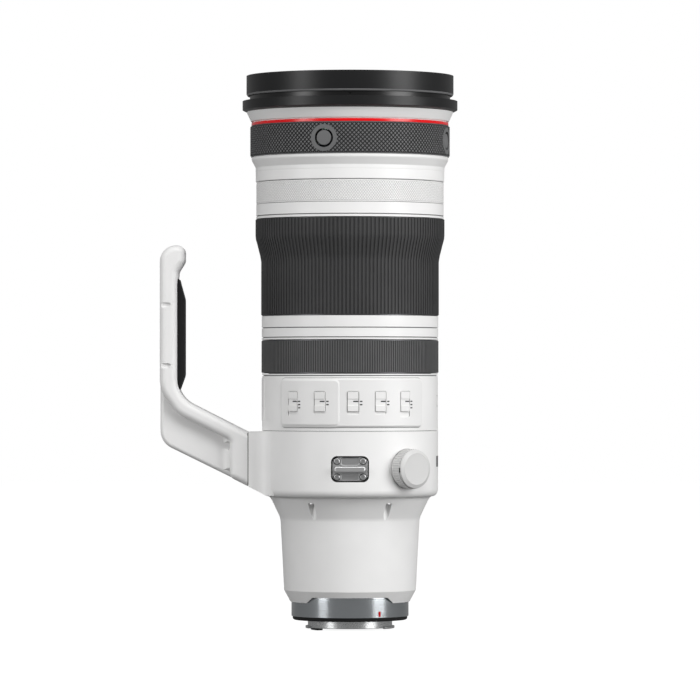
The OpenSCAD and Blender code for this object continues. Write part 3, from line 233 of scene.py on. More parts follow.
# The points of an outline whose corners are (x, y, radius)
def roundCorners(corners, steps=8):
    points = []
    for index, (x, y, radius) in enumerate(corners):
        here = Vector((x, y))
        if radius == 0:
            points.append(here)
            continue
        before = (Vector(corners[index - 1][:2]) - here).normalized()
        after = (Vector(corners[(index + 1) % len(corners)][:2]) - here).normalized()
        half = acos(max(-1, min(1, before.dot(after)))) / 2
        centre = here + (before + after).normalized() * radius / sin(half)
        first = here + before * radius / tan(half) - centre
        last = here + after * radius / tan(half) - centre
        start = atan2(first.y, first.x)
        sweep = (atan2(last.y, last.x) - start + 3 * pi) % (2 * pi) - pi
        for step in range(steps + 1):
            turn = start + sweep * step / steps
            points.append(centre + radius * Vector((cos(turn), sin(turn))))
    return points


# A flat face whose corners get their places afterwards
def addFace(count):
    return added(bpy.ops.mesh.primitive_circle_add, vertices=count, radius=mm, fill_type="NGON")


# A plate of that outline, in millimetres, extruded upwards from the floor of its own frame
def plateFrom(points, depth):
    piece = addFace(len(points))
    for vertex, point in zip(piece.data.vertices, points):
        vertex.co = (point[0] * mm, point[1] * mm, 0)
    editAll(piece)
    bpy.ops.mesh.extrude_region_move(TRANSFORM_OT_translate={"value": (0, 0, depth * mm)})
    bpy.ops.mesh.select_all(action="SELECT")
    bpy.ops.mesh.normals_make_consistent(inside=False)
    leaveEdit()
    return piece


def roundPlate(width, height, depth, radius, steps=8):
    w, h = width / 2, height / 2
    corners = [(w, h, radius), (-w, h, radius), (-w, -h, radius), (w, -h, radius)]
    return plateFrom(roundCorners(corners, steps), depth)


# Bends a flat piece, which stands in the XZ plane and faces -Y, round the barrel
def bendOnBarrel(piece, radius, strips):
    xs = [vertex.co.x for vertex in piece.data.vertices]
    low, high = min(xs), max(xs)
    for strip in range(1, strips):
        place = low + (high - low) * strip / strips
        editWhole(piece, bpy.ops.mesh.bisect, plane_co=(place, 0, 0), plane_no=(1, 0, 0))
    applyModifier(piece, "SIMPLE_DEFORM", deform_method="BEND", deform_axis="Z",
                  angle=(high - low) / (radius * mm))
    moveTo(piece, (0, -radius, 0))


# The finishes: base colour, roughness, change of tone, strength of the grain and its size in
# millimetres, then the share of metal, the coat, the shine and the lathe marks where they matter
finishes = {
    "whitePaint": ((0.86, 0.857, 0.852), 0.44, 0.035, 0.16, 0.42, {"coat": 0.05}),
    "panelPaint": ((0.82, 0.817, 0.812), 0.42, 0.03, 0.12, 0.42, {"coat": 0.05}),
    "whitePlastic": ((0.83, 0.827, 0.82), 0.5, 0.03, 0.08, 0.3, {}),
    "knobPlastic": ((0.66, 0.658, 0.652), 0.45, 0.03, 0.12, 0.4, {}),
    "blackPaint": ((0.009, 0.0092, 0.0096), 0.38, 0.25, 0.05, 0.35, {"shine": 0.27, "turned": 0.05}),
    # painted shade for the floor of the hood groove
    "grooveBlack": ((0.003, 0.003, 0.0032), 0.3, 0.2, 0.05, 0.3, {}),
    "bandPaint": ((0.14, 0.141, 0.143), 0.5, 0.12, 0.08, 0.3, {"shine": 0.25}),
    # painted shade: the ground between the band's diamonds, the floors of the lug pockets and the lugs'
    # foot
    "bandGroove": ((0.03, 0.03, 0.031), 0.6, 0.15, 0.08, 0.3, {"shine": 0.15}),
    # painted shade: the pale ground between the control ring's diamonds and between the knob's ribs
    "ringGroove": ((0.6, 0.598, 0.594), 0.5, 0.04, 0.08, 0.3, {}),
    # painted shade for grooves, gaps and the outlines round the panel and the sliders
    "seamShade": ((0.2, 0.2, 0.199), 0.6, 0.08, 0.1, 0.3, {}),
    "redEnamel": ((0.76, 0.003, 0.007), 0.24, 0.06, 0.02, 0.5, {"coat": 0.2, "shine": 0.3}),
    "zoomRubber": ((0.052, 0.0522, 0.053), 0.6, 0.2, 0.14, 0.16, {"shine": 0.2}),
    "focusRubber": ((0.118, 0.1185, 0.12), 0.6, 0.15, 0.12, 0.16, {"shine": 0.2}),
    # these two are painted shade for the floors between the rubber ribs
    "zoomGroove": ((0.05, 0.05, 0.051), 0.7, 0.2, 0.1, 0.16, {"shine": 0.1}),
    "focusGroove": ((0.075, 0.075, 0.076), 0.7, 0.2, 0.1, 0.16, {"shine": 0.15}),
    "blackRubber": ((0.008, 0.008, 0.0084), 0.66, 0.25, 0.2, 0.25, {"shine": 0.2}),
    "mountSteel": ((0.385, 0.405, 0.42), 0.17, 0.08, 0.02, 0.3, {"metal": 1, "turned": 0.12}),
    "bayonetSteel": ((0.55, 0.555, 0.56), 0.27, 0.08, 0.02, 0.3, {"metal": 1, "turned": 0.04}),
    "screwSteel": ((0.85, 0.85, 0.852), 0.3, 0.1, 0.03, 0.2, {"metal": 1}),
    "lugSteel": ((0.75, 0.752, 0.755), 0.33, 0.12, 0.08, 0.2, {"metal": 1}),
    # a darker steel: the lug screws' own grey, and painted shade on the lug plates
    "lugPlate": ((0.42, 0.422, 0.425), 0.45, 0.12, 0.08, 0.2, {"metal": 1}),
    "goldPlate": ((0.83, 0.52, 0.16), 0.25, 0.1, 0.03, 0.15, {"metal": 1}),
    "blackPlastic": ((0.014, 0.014, 0.015), 0.5, 0.2, 0.12, 0.25, {"shine": 0.25}),
    "buttonPlastic": ((0.15, 0.151, 0.153), 0.5, 0.1, 0.1, 0.2, {"shine": 0.2}),
    "inkBlack": ((0.02, 0.02, 0.02), 0.55, 0.2, 0.05, 0.2, {}),
    "inkRed": ((0.42, 0.003, 0.006), 0.6, 0.1, 0.05, 0.2, {"shine": 0.1}),
    "innerMetal": ((0.1, 0.1, 0.105), 0.42, 0.1, 0.05, 0.3, {"metal": 1, "turned": 0.1}),
    "cellMetal": ((0.022, 0.022, 0.023), 0.5, 0.15, 0.06, 0.3, {"metal": 0.6, "turned": 0.12}),
    "board": ((0.02, 0.13, 0.06), 0.35, 0.2, 0.06, 0.6, {"coat": 0.3}),
}

# What the finishes share: inputs of their nodes by name
surface = {
    "tone": {"Scale": 60, "Detail": 4}, "grain": {"Detail": 2}, "sheenSpread": 0.07, "bump": 0.1,
    "lathe": (12, 12, 2600), "marks": {"Scale": 1, "Detail": 3}, "shine": 0.4,
    "coat": {"Coat Roughness": 0.2}, "dust": {"Scale": 300},
    "haze": {"From Min": 0.55, "From Max": 0.9, "To Min": 0.01, "To Max": 0.06},
    "glass": {"Transmission Weight": 1, "IOR": 1.6, "Thin Film IOR": 1.38},
}

# The glasses: tint and thickness of the thin film in nanometres
glasses = {"frontGlass": ((0.86, 0.93, 0.95), 430), "innerGlass": ((0.88, 0.95, 0.92), 330)}


# Sets the inputs of a node, each to a value or to the socket that feeds it
def feed(tree, node, inputs):
    for key, value in inputs.items():
        if isinstance(value, bpy.types.NodeSocket):
            tree.links.new(value, node.inputs[key])
        else:
            node.inputs[key].default_value = value
    return node


def addNode(tree, kind, inputs, **settings):
    node = tree.nodes.new("ShaderNode" + kind)
    for key, value in settings.items():
        setattr(node, key, value)
    return feed(tree, node, inputs)


def newMaterial(name):
    material = bpy.data.materials.new(name)
    material.use_nodes = True
    return material, material.node_tree, material.node_tree.nodes["Principled BSDF"]


# Noise over the piece's own object coordinates, drawn out where a stretch is given
def addNoise(tree, inputs, stretch=1):
    place = addNode(tree, "TexCoord", {}).outputs["Object"]
    if stretch != 1:
        place = addNode(tree, "Mapping", {"Scale": stretch, "Vector": place}).outputs["Vector"]
    return addNode(tree, "TexNoise", {**inputs, "Vector": place}).outputs["Fac"]


# A finish whose colour, roughness and bump vary
def makeFinish(name):
    colour, roughness, tone, grain, grainSize, extra = finishes[name]
    material, tree, shader = newMaterial(name)
    dark, light = [c * (1 - tone) for c in colour], [min(1, c * (1 + tone)) for c in colour]
    colours = addNode(tree, "Mix", {"A": (*dark, 1), "B": (*light, 1),
                                    "Factor": addNoise(tree, surface["tone"])}, data_type="RGBA")
    height = addNoise(tree, {**surface["grain"], "Scale": 1000 / grainSize})
    depth, spread = surface["bump"] * mm, surface["sheenSpread"]
    sheen = addNode(tree, "MapRange", {
        "To Min": roughness - spread, "To Max": roughness + spread, "Value": height})
    bump = addNode(tree, "Bump", {"Strength": grain, "Distance": depth, "Height": height})
    if "turned" in extra:  # lathe marks run round the axis
        marks = addNoise(tree, surface["marks"], surface["lathe"])
        bump = addNode(tree, "Bump", {"Strength": extra["turned"], "Distance": depth,
                                      "Height": marks, "Normal": bump.outputs["Normal"]})
    feed(tree, shader, {
        **surface["coat"], "Base Color": colours.outputs["Result"], "Metallic": extra.get("metal", 0),
        "Roughness": sheen.outputs["Result"], "Normal": bump.outputs["Normal"],
        "Coat Weight": extra.get("coat", 0),
        "Specular IOR Level": extra.get("shine", surface["shine"])})
    return material


# Coated glass: clear, with the coloured reflection of its thin film and a trace of dust
def makeGlass(name):
    tint, film = glasses[name]
    material, tree, shader = newMaterial(name)
    haze = addNode(tree, "MapRange", {**surface["haze"], "Value": addNoise(tree, surface["dust"])})
    feed(tree, shader, {
        **surface["glass"], "Base Color": (*tint, 1), "Thin Film Thickness": film,
        "Roughness": haze.outputs["Result"]})
    return material


# The finish of a slot in the record: white_paint is whitePaint
def finishOf(slotName):
    first, *rest = slotName.split("_")
    return first + "".join(word.title() for word in rest)


materials = {name: makeFinish(name) for name in finishes}
for name in glasses:
    materials[name] = makeGlass(name)
print("finishes made:", len(materials))

# Every CAD node starts with the finish of its slot
for part in frame["record"]["subparts"]:
    node = nodes[part["node"]]
    node.data.materials.clear()
    node.data.materials.append(materials[finishOf(part["material_slot"])])

# White barrel; the sleeves are outer and inner radius, low and high end and grooves
barrel = dict(
    rear=[(35.15, 9.7), (35.7, 9.7), (39.4, 16.6), (40.4, 37), (41.5, 57.9), (42.1, 60.5),
          (46.6, 70), (47.6, 71.6), (48.6, 72.4), (36.8, 72.4), (36.8, 17), (35.15, 14)],
    notchLow=25.5, notchHigh=22.3, notchBase=9.8, notchTop=13.1, notchCorner=1.4,
    grooveRadius=1.95, grooveFloor=41.65, grooveLow=59.2, grooveLength=9.9,
    grooveCount=6, firstGroove=30,
    middleSleeve=(52.75, 48.7, 165.9, 179.9, (167.2, 172.9)),
    frontSleeve=(56, 48.7, 238, 246.6, (239.6,)),
    grooveDepth=0.8, grooveWidth=0.55,
    cone=[(53.6, 260), (56.35, 260), (56.3, 268.4), (58.8, 273.1), (58.8, 275), (56.4, 275),
          (56.4, 266), (53.6, 262)],
    flare=[(56.5, 295.3), (58, 295.3), (58, 296.1), (59.1, 296.1), (61.8, 301.9), (56.5, 301.9)],
)


# A plain sleeve with fine grooves cut round it
def turnedSleeve(size):
    outer, inner, low, high, grooves = size
    outline = [(inner, low), (outer, low)]
    half, floor = barrel["grooveWidth"] / 2, outer - barrel["grooveDepth"]
    for height in grooves:
        outline += [(outer, height - half), (floor, height - half), (floor, height + half),
                    (outer, height + half)]
    return turnedRing(outline + [(outer, high), (inner, high)])


# Rounds and finishes a sleeve; the floors of its grooves get a dark grey finish: painted shade
def finishSleeve(piece, size, name, node):
    outer, inner, low, high, grooves = size
    roundEdges(piece, 0.08)
    finishPiece(piece, name, "white_paint", node)
    paintRing(piece, "seamShade", outer - 1.2, outer - 0.3, low + 0.3, high - 0.3)


def makeRearBarrel():
    piece = turnedRing(barrel["rear"])
    low, high, corner = barrel["notchLow"], barrel["notchHigh"], barrel["notchCorner"]
    base, top = barrel["notchBase"], barrel["notchTop"]
    notch = plateFrom(roundCorners([
        (-low, 8, 0), (low, 8, 0), (low, base, corner), (high, top, corner),
        (-high, top, corner), (-low, base, corner)]), 40)
    cutAway(piece, moveTo(notch, (0, -5, 0), (90, 0, 0)))
    radius, floor = barrel["grooveRadius"], barrel["grooveFloor"]
    for index in range(barrel["grooveCount"]):
        groove = plateFrom(roundCorners([
            (-radius, -52, 0), (radius, -52, 0), (radius, -floor, radius - 0.01),
            (-radius, -floor, radius - 0.01)]), barrel["grooveLength"])
        azimuth = barrel["firstGroove"] + 360 * index / barrel["grooveCount"]
        moveTo(groove, (0, 0, barrel["grooveLow"]), (0, 0, azimuth))
        mendNormals(groove)
        cutAway(piece, groove)
    roundEdges(piece, 0.3, 3, 18)
    finishPiece(piece, "rearBarrelShell", "white_paint", "rear_barrel")


makeRearBarrel()
for name, node in (("middleSleeve", "mid_sleeve"), ("frontSleeve", "front_sleeve")):
    finishSleeve(turnedSleeve(barrel[name]), barrel[name], name, node)
makeRing(barrel["cone"], (0.6, 4, 24), "frontCone", "white_paint", "front_cone")
makeRing(barrel["flare"], (0.15,), "frontFlare", "white_paint", "front_barrel")
print("white barrel modelled")

# Ribbed grips of the zoom and focus rings: outline, number of ribs and their height
grips = {
    "zoom": ([(53.1, 180.6), (53.1, 212.4), (53.7, 216), (55.4, 222.8), (56.3, 226), (56.5, 228.2),
              (56.5, 237.6)], 145, 0.42),
    "focus": ([(52.9, 146.3), (52.9, 165.2)], 225, 0.4),
}
rubber = dict(wall=1.4, lip=0.15, lipInset=0.1, strips=4)


# Whether a face lies on a raised strip: half of the strips round the axis are ribs
def onStrip(at, ribs, strips):
    turn = atan2(at.y, at.x) / (2 * pi) * ribs * strips
    return (turn + 0.001) // 1 % strips < strips / 2


def raiseRibs(piece, test, height):
    editPicked(piece, "FACE", test, bpy.ops.mesh.extrude_region_shrink_fatten,
               TRANSFORM_OT_shrink_fatten={"value": height * mm})


# A rubber sleeve: its wall is turned at the depth of the grooves, and every other strip is raised
def ribbedSleeve(outline, ribs, ribHeight):
    wall, lip, inset, strips = rubber["wall"], rubber["lip"], rubber["lipInset"], rubber["strips"]
    low, high = outline[0], outline[-1]
    body = [(radius - ribHeight, height) for radius, height in outline]
    body[0] = (body[0][0], low[1] + lip)
    body[-1] = (body[-1][0], high[1] - lip)
    loop = [(low[0] - wall, low[1]), (low[0] - inset, low[1]), (low[0] - inset, low[1] + lip)] + body
    loop += [(high[0] - inset, high[1] - lip), (high[0] - inset, high[1])]
    loop += [(radius - wall, height) for radius, height in reversed(outline)][:-1]
    piece = turnedRing(loop, ribs * strips)
    inner = (low[0] - wall / 2 - ribHeight) * mm
    lowest, highest = (low[1] + lip) * mm, (high[1] - lip) * mm

    def onRib(face):
        at, normal = face.center, face.normal
        outward = normal.x * at.x + normal.y * at.y > 0
        return outward and onStrip(at, ribs, strips) and lowest < at.z < highest \
            and abs(normal.z) < 0.7 and reach(at) > inner

    raiseRibs(piece, onRib, ribHeight)
    smoothFaces(piece, 30)
    return piece


# The floor of a groove between the ribs gets a darker finish: painted shade
def shadeRibGrooves(piece, outline, ribHeight, finish):
    def inGroove(at, normal):
        for (radius, height), (nextRadius, nextHeight) in zip(outline, outline[1:]):
            if height <= at.z <= nextHeight:
                share = (at.z - height) / (nextHeight - height)
                surfaceRadius = radius + (nextRadius - radius) * share
                return surfaceRadius - ribHeight - 0.15 < reach(at) < surfaceRadius - 0.15
        return False

    paintFaces(piece, finish, inGroove)


for ring, (outline, ribs, ribHeight) in grips.items():
    grip = ribbedSleeve(outline, ribs, ribHeight)
    finishPiece(grip, ring + "Grip", ring + "_rubber", ring + "_grip", body=ring + "_ring")
    shadeRibGrooves(grip, outline, ribHeight, ring + "Groove")
print("grips modelled")

# Knurled bands: the dark one with the function buttons, and the white control ring
knurls = {
    "band": dict(outer=59.2, inner=56.5, low=275, high=293.6, edge=0.35, wall=(275.4, 293.25),
                 cells=150, rows=7, height=0.42, border=0.34, shadeBelow=0.1),
    "ring": dict(outer=55.85, inner=53.6, low=246.9, high=259.7, edge=0, wall=(247.4, 259.2),
                 cells=228, rows=6, height=0.13, border=0.17, shadeBelow=0.04),
}
buttons = dict(
    azimuth=-15, count=4, height=283.95, bossRadius=7.9, bossTop=59.75,
    bossBase=57.2, wellRadius=5.6, radius=4.4, top=59.35, base=58.6, dome=0.12,
)


# Turns the plain wall into diamonds: its squares are cut into four, the old edges go, and each
# diamond left between them gets a raised flat top
def knurlWall(piece, size):
    low, high = size["wall"]
    step = (high - low) / size["rows"]
    inner = (size["outer"] - 0.3) * mm

    def onWall(face):
        at = face.center
        return low * mm < at.z < high * mm and reach(at) > inner and abs(face.normal.z) < 0.5

    def oldEdge(edge):
        a, b = [piece.data.vertices[index].co for index in edge.vertices]
        middle = (a.z + b.z) / 2 / mm
        if min(reach(a), reach(b)) < inner or not low + 0.1 * step < middle < high - 0.1 * step:
            return False
        level = abs(a.z - b.z) < 0.01 * mm
        upright = abs(atan2(a.x * b.y - a.y * b.x, a.x * b.x + a.y * b.y)) < 0.0005
        return level or (upright and abs(a.z - b.z) > 0.9 * step * mm)

    editPicked(piece, "FACE", onWall, bpy.ops.mesh.poke, offset=0)
    editPicked(piece, "EDGE", oldEdge, bpy.ops.mesh.dissolve_edges, use_verts=False,
               use_face_split=False)
    editPicked(piece, "FACE", onWall, bpy.ops.mesh.inset, use_individual=True,
               thickness=size["border"] * mm, depth=size["height"] * mm)


def knurledRing(size):
    outer, inner, rows, (low, high) = size["outer"], size["inner"], size["rows"], size["wall"]
    wall = [(outer, low + (high - low) * row / rows) for row in range(rows + 1)]
    piece = turnedRing([(inner, size["low"]), (outer, size["low"])] + wall
                       + [(outer - size["edge"], size["high"]), (inner, size["high"])], size["cells"])
    knurlWall(piece, size)
    return piece


# The ground between the diamonds gets a darker finish: painted shade
def paintKnurlShade(piece, size, finish):
    outer = size["outer"]
    paintRing(piece, finish, outer - 0.1, outer + size["height"] - size["shadeBelow"], *size["wall"])


# The smooth seat of a button: a round slice of a plain ring, with the well in its middle
def makeBoss(azimuth):
    base, top = buttons["bossBase"], buttons["bossTop"]
    shell = turnedRing([(base, 270), (top, 270), (top, 298), (base, 298)], 360)
    disc = addRod(buttons["bossRadius"], 6, sides=72)
    well = addRod(buttons["wellRadius"], 8, sides=64)
    for tool in (disc, well):
        setOnBarrel(tool, azimuth, buttons["height"], top)
    combine(shell, disc, "INTERSECT")
    cutAway(shell, well)
    roundEdges(shell, 0.3, 3)
    return shell


def makeButtonBand():
    size = knurls["band"]
    piece = knurledRing(size)
    bosses = []
    for azimuth in buttonAzimuths:
        hole = addRod(buttons["bossRadius"], 6)
        cutAway(piece, setOnBarrel(hole, azimuth, buttons["height"], size["outer"]))
        bosses.append(makeBoss(azimuth))
    smoothFaces(piece, 12)
    finishPiece(piece, "buttonBand", "band_paint", "button_band")
    paintKnurlShade(piece, size, "bandGroove")
    finishPiece(joinPieces(bosses), "buttonBosses", "band_paint")


def makeButton(number, azimuth):
    radius, top = buttons["radius"], buttons["top"] - buttons["base"]
    cap = turnedRing([(radius, 0), (radius, top), (radius * 0.8, top + buttons["dome"])], 64, True)
    roundEdges(cap, 0.3, 3, 20)
    setOnBarrel(cap, azimuth, buttons["height"], buttons["base"])
    finishPiece(cap, "functionCap%d" % number, "button_plastic", "button_%d" % number,
                body="function_button_%d" % number)


def makeControlRing():
    piece = knurledRing(knurls["ring"])
    smoothFaces(piece, 8)
    finishPiece(piece, "controlRing", "white_paint", "control_ring", body="function_ring")
    paintKnurlShade(piece, knurls["ring"], "ringGroove")


buttonAzimuths = [buttons["azimuth"] + 360 * index / buttons["count"]
                  for index in range(buttons["count"])]
makeButtonBand()
for number, azimuth in enumerate(buttonAzimuths, 1):
    makeButton(number, azimuth)
makeControlRing()
print("knurled bands modelled")

# Front: red ring, black ring with hood groove and filter thread
front = dict(
    redRing=[(56.5, 293.65), (58.9, 293.65), (58.9, 295.4), (56.5, 295.4)],
    ring=[(56.4, 301.9), (61.9, 301.9), (64.25, 303.1), (64.25, 308.4), (59.9, 308.4),
          (59.9, 311.4), (61.2, 311.4), (61.9, 312.5), (61.9, 323.5), (57.2, 323.5), (56, 322.4)],
    threadRadius=56, threadLow=314.8, threadPitch=0.76, threadDepth=0.45,
    threadCount=10, setHoleRadius=0.6, setHoleCount=3, setHoleHeight=309.9,
)


def makeFrontRing():
    pitch, radius = front["threadPitch"], front["threadRadius"]
    outline = list(front["ring"])
    for turn in reversed(range(front["threadCount"])):
        height = front["threadLow"] + turn * pitch
        outline += [(radius, height + pitch * 0.6),
                    (radius + front["threadDepth"], height + pitch * 0.3)]
    ring = turnedRing(outline + [(radius, 314.5), (radius + 0.4, 314.5)])
    (groove, grooveLow), (groove, grooveHigh), (lip, lipLow), (lipOuter, lipHigh) = front["ring"][4:8]
    for index in range(front["setHoleCount"]):
        hole = addRod(front["setHoleRadius"], 3, sides=24)
        azimuth = 360 * index / front["setHoleCount"]
        cutAway(ring, setOnBarrel(hole, azimuth, front["setHoleHeight"], groove))
    roundEdges(ring, 0.25, 3, 50)
    finishPiece(ring, "frontRing", "black_paint", "front_ring")
    # The floor of the hood groove gets a blacker finish: painted shade
    paintRing(ring, "grooveBlack", groove - 0.2, groove + 0.4, grooveLow, grooveHigh)
    # The chamfer under the rim gets the lighter grey of the band: a painted reflection of the white
    # floor
    paintRing(ring, "bandPaint", lip + 0.05, lipOuter - 0.05, lipLow + 0.1, lipHigh - 0.1)


makeRing(front["redRing"], (0.2,), "redRing", "red_enamel", "red_ring")
makeFrontRing()
print("front modelled")

# Tripod collar with its block, the pockets of the strap lugs and the seat of the lock knob
collar = dict(
    outline=[(48.9, 72.5), (49.3, 72.5), (50.6, 72.9), (51.7, 73.8), (52.4, 75.2), (52.6, 77),
             (52.6, 111.6), (48.9, 111.6)],
    blockCorners=[(30, 73.5, 0), (49.8, 73.2, 5), (60.35, 78.5, 0), (60.35, 110.9, 0),
                  (30, 110.9, 0)],
    blockWidth=38, blockEnd=61, blendRadius=12, blendFrom=52.4, bore=50.5,
    height=89.5, knobAzimuth=40, seatRadius=11.95, seatTop=51.1,
    pocketWidth=22.3, pocketHeight=15.4, pocketCorner=3.6, pocketFloor=50.4,
    window=[(51.9, 90.2), (52.65, 90.2), (52.65, 96.7), (51.9, 96.7)], windowFrom=51.35,
)


# The side of the block meets the round collar in a soft curve
def blockSection():
    half, blend, radius = collar["blockWidth"] / 2, collar["blendRadius"], collar["blendFrom"]
    side = half + blend
    far = sqrt((radius + blend) ** 2 - side ** 2)
    touch = (far * radius / (radius + blend), side * radius / (radius + blend))
    start = atan2(touch[1] - side, touch[0] - far)
    upper = [(30, touch[1])]
    for step in range(9):
        turn = start + (-pi / 2 - start) * step / 8
        upper.append((far + blend * cos(turn), side + blend * sin(turn)))
    upper.append((collar["blockEnd"], half))
    return upper + [(x, -y) for x, y in reversed(upper)]


def makeCollar():
    ring = turnedRing(collar["outline"])
    block = moveTo(plateFrom([(-x, y) for x, y in blockSection()], 45), (0, 0, 70))
    profile = footPlate(collar["blockCorners"], 90, 8)
    mendNormals(block)
    combine(block, profile, "INTERSECT")
    cutAway(block, addRod(collar["bore"], 80, (0, 0, 90), 256))
    combine(ring, block, "UNION")
    seat = addRod(collar["seatRadius"], 16, (0, 0, 8), 96)
    cutAway(ring, setOnBarrel(seat, collar["knobAzimuth"], collar["height"], collar["seatTop"]))
    width, floor = collar["pocketWidth"], collar["pocketFloor"]
    for azimuth in (0, 180):
        pocket = roundPlate(width, collar["pocketHeight"], 8, collar["pocketCorner"])
        cutAway(ring, setOnBarrel(pocket, azimuth, collar["height"], floor))
    roundEdges(ring, 0.4, 3, 42)
    finishPiece(ring, "collarShell", "white_paint", "collar_ring", body="tripod_collar")
    # The floors of the lug pockets, seen in the gap round each plate, get a dark finish: painted shade
    paintFaces(ring, "bandGroove", lambda at, normal:
               abs(abs(at.y) - floor) < 0.1 and abs(normal.y) > 0.99 and abs(at.x) < width / 2)
    window = turnedRing(collar["window"], 360)
    editWhole(window, bpy.ops.mesh.bisect, plane_co=(collar["windowFrom"] * mm, 0, 0),
              plane_no=(-1, 0, 0), clear_outer=True, use_fill=True)
    mendNormals(window)
    roundEdges(window, 0.2)
    finishPiece(window, "securityWindow", "black_plastic", body="tripod_collar",
                finish="buttonPlastic")


# Foot: bar, hook, sloping arm and joint block in one rounded piece, with a thinner web below the arm
foot = dict(
    width=34, webWidth=18, edgeRound=4, webRound=2.4, joint=60.85, back=113.2,
    arm=[(60.85, 78.7, 0), (71.4, 84, 4.3), (71.4, 106, 4), (103, 121.6, 17),
         (113.2, 136, 20), (113.2, 222, 9.6), (98.5, 222, 4.2), (98.5, 212.4, 4.2),
         (102.2, 206.4, 5), (102.8, 199, 0), (102.8, 132.2, 17), (60.85, 110.9, 0)],
    web=[(66, 81.5, 0), (113, 104.6, 11.5), (113, 146, 0), (108, 150, 0), (100, 124, 6),
         (69, 108, 0), (66, 100, 0)],
    notchHeights=(150.4, 186.5), notchHeight=2.9, notchInner=106.4, notchDepth=1.3,
    sockets=((3.175, 177.5), (4.7625, 159.5)), socketDepth=8.2,
    wall=71.3, filletRadius=5, filletLength=21.6, filletHeight=98.3,
    scoopRadius=2.6, scoopHeights=(86.7, 102.8), scoopSide=11, scoopPlace=76.2,
    gasket=[(60.3, 79.2, 0), (60.9, 79.5, 0), (60.9, 110.3, 0), (60.3, 110, 0)],
    gasketWidth=33,
)
pad = dict(
    outline=[(102.9, 133.8, 0), (101.4, 136.4, 1), (98.5, 144.5, 7), (98.5, 190, 12),
             (101, 199, 8), (101.7, 202, 0.8), (102.9, 202, 0)],
    width=27, round=2.2,
)


# A plate of an outline in the plane of the foot, (distance from the lens axis, height)
def footPlate(corners, width, steps=10):
    piece = plateFrom(roundCorners([(-x, z, r) for x, z, r in corners], steps), width)
    moveTo(piece, (0, width / 2, 0), (90, 0, 0))
    mendNormals(piece)
    return piece


# The outline moved inwards by a distance; the ends at the joint slide along the joint face
def insetOutline(points, distance):
    moved = []
    for index, point in enumerate(points):
        before = (point - points[index - 1]).normalized()
        after = (points[(index + 1) % len(points)] - point).normalized()
        if abs(point.x + foot["joint"]) < 0.01:
            along = before if abs(before.x) > 0.1 else after
            up = -1 if point.y > 95 else 1
            moved.append(point + Vector((0, up * distance / abs(along.x))))
            continue
        middle = (before + after).normalized()
        inward = Vector((middle.y, -middle.x))
        stretch = 1 / max(0.5, inward.dot(Vector((after.y, -after.x))))
        moved.append(point + inward * distance * stretch)
    return moved


# Extruded in layers, each with the outline that the rounded edge has at its depth; the points of a
# new layer lie where those of the last one are, which tells their places in the outline
def roundedPlate(points, width, radius, steps=7):
    layers = []
    for step in range(steps + 1):
        turn = pi / 2 * step / steps
        layers.append((-width / 2 + radius * (1 - sin(turn)), radius * (1 - cos(turn))))
    layers = layers[::-1] + [(-depth, inset) for depth, inset in layers]
    count = len(points)
    piece = addFace(count)
    numbers = {}
    for layer, (depth, inset) in enumerate(layers):
        if layer > 0:
            editPicked(piece, "FACE", lambda face: min(face.vertices) >= count * (layer - 1)
                       and len(face.vertices) == count, bpy.ops.mesh.extrude_region_move)
        outline = insetOutline(points, inset)
        lifted = {}
        for index, vertex in enumerate(piece.data.vertices[count * layer:]):
            number = numbers.get(vertex.co.copy().freeze(), index)
            vertex.co = (outline[number].x * mm, depth * mm, outline[number].y * mm)
            lifted[vertex.co.copy().freeze()] = number
        numbers = lifted
    mendNormals(piece)
    return piece


# Cuts the round scoops beside the foot screws of one side
def cutScoops(piece, side):
    for height in foot["scoopHeights"]:
        place = (-foot["scoopPlace"], side * foot["scoopSide"], height)
        cutAway(piece, addRod(foot["scoopRadius"], 20, place, 32, (0, 90, 0)))


# A concave fillet that stands on the web, upright along the inner wall of the foot
def wallFillet(side):
    radius, wall, face = foot["filletRadius"], foot["wall"], foot["webWidth"] / 2
    block = addBlock(radius + 0.6, radius + 0.6, foot["filletLength"],
                     (-(wall + radius / 2 - 0.3), side * (face + radius / 2 - 0.3),
                      foot["filletHeight"]))
    cutAway(block, addRod(radius, 40, (-(wall + radius), side * (face + radius), 96), 64))
    cutScoops(block, side)
    return block


def makeFoot():
    points = roundCorners([(-x, z, r) for x, z, r in foot["arm"]], 12)
    arm = roundedPlate(points, foot["width"], foot["edgeRound"])
    web = footPlate(foot["web"], foot["webWidth"])
    bevelEdges(web, foot["webRound"], 4, 50)
    near = foot["width"] / 2 - foot["notchDepth"]
    for height in foot["notchHeights"]:
        for y in (-near, near + 6):
            notch = roundPlate(12, foot["notchHeight"], 6, foot["notchHeight"] / 2 - 0.01)
            cutAway(arm, moveTo(notch, (-(foot["notchInner"] + 6), y, height), (90, 0, 0)))
    for radius, height in foot["sockets"]:
        place = (-foot["back"], 0, height)
        cutAway(arm, addRod(radius, foot["socketDepth"] * 2, place, 48, (0, 90, 0)))
    fillets = [wallFillet(-1), wallFillet(1)]
    for side in (-1, 1):
        cutScoops(arm, side)
    smoothFaces(arm, 40)
    finishPiece(arm, "footArm", "white_paint", "tripod_foot", body="tripod_collar")
    web = joinPieces([web] + fillets)
    smoothFaces(web, 40)
    finishPiece(web, "footWeb", "white_paint", body="tripod_collar")
    # A dark sheet in the joint of the foot and the block: painted shade of the gap
    gasket = footPlate(foot["gasket"], foot["gasketWidth"])
    roundEdges(gasket, 0.05)
    finishPiece(gasket, "footGasket", "black_rubber", body="tripod_collar")


def makePad():
    piece = footPlate(pad["outline"], pad["width"])
    bevelEdges(piece, pad["round"], 5, 60)
    smoothFaces(piece, 40)
    finishPiece(piece, "palmPad", "black_rubber", "foot_pad", body="tripod_collar")


makeCollar()
makeFoot()
makePad()
print("collar and foot modelled")

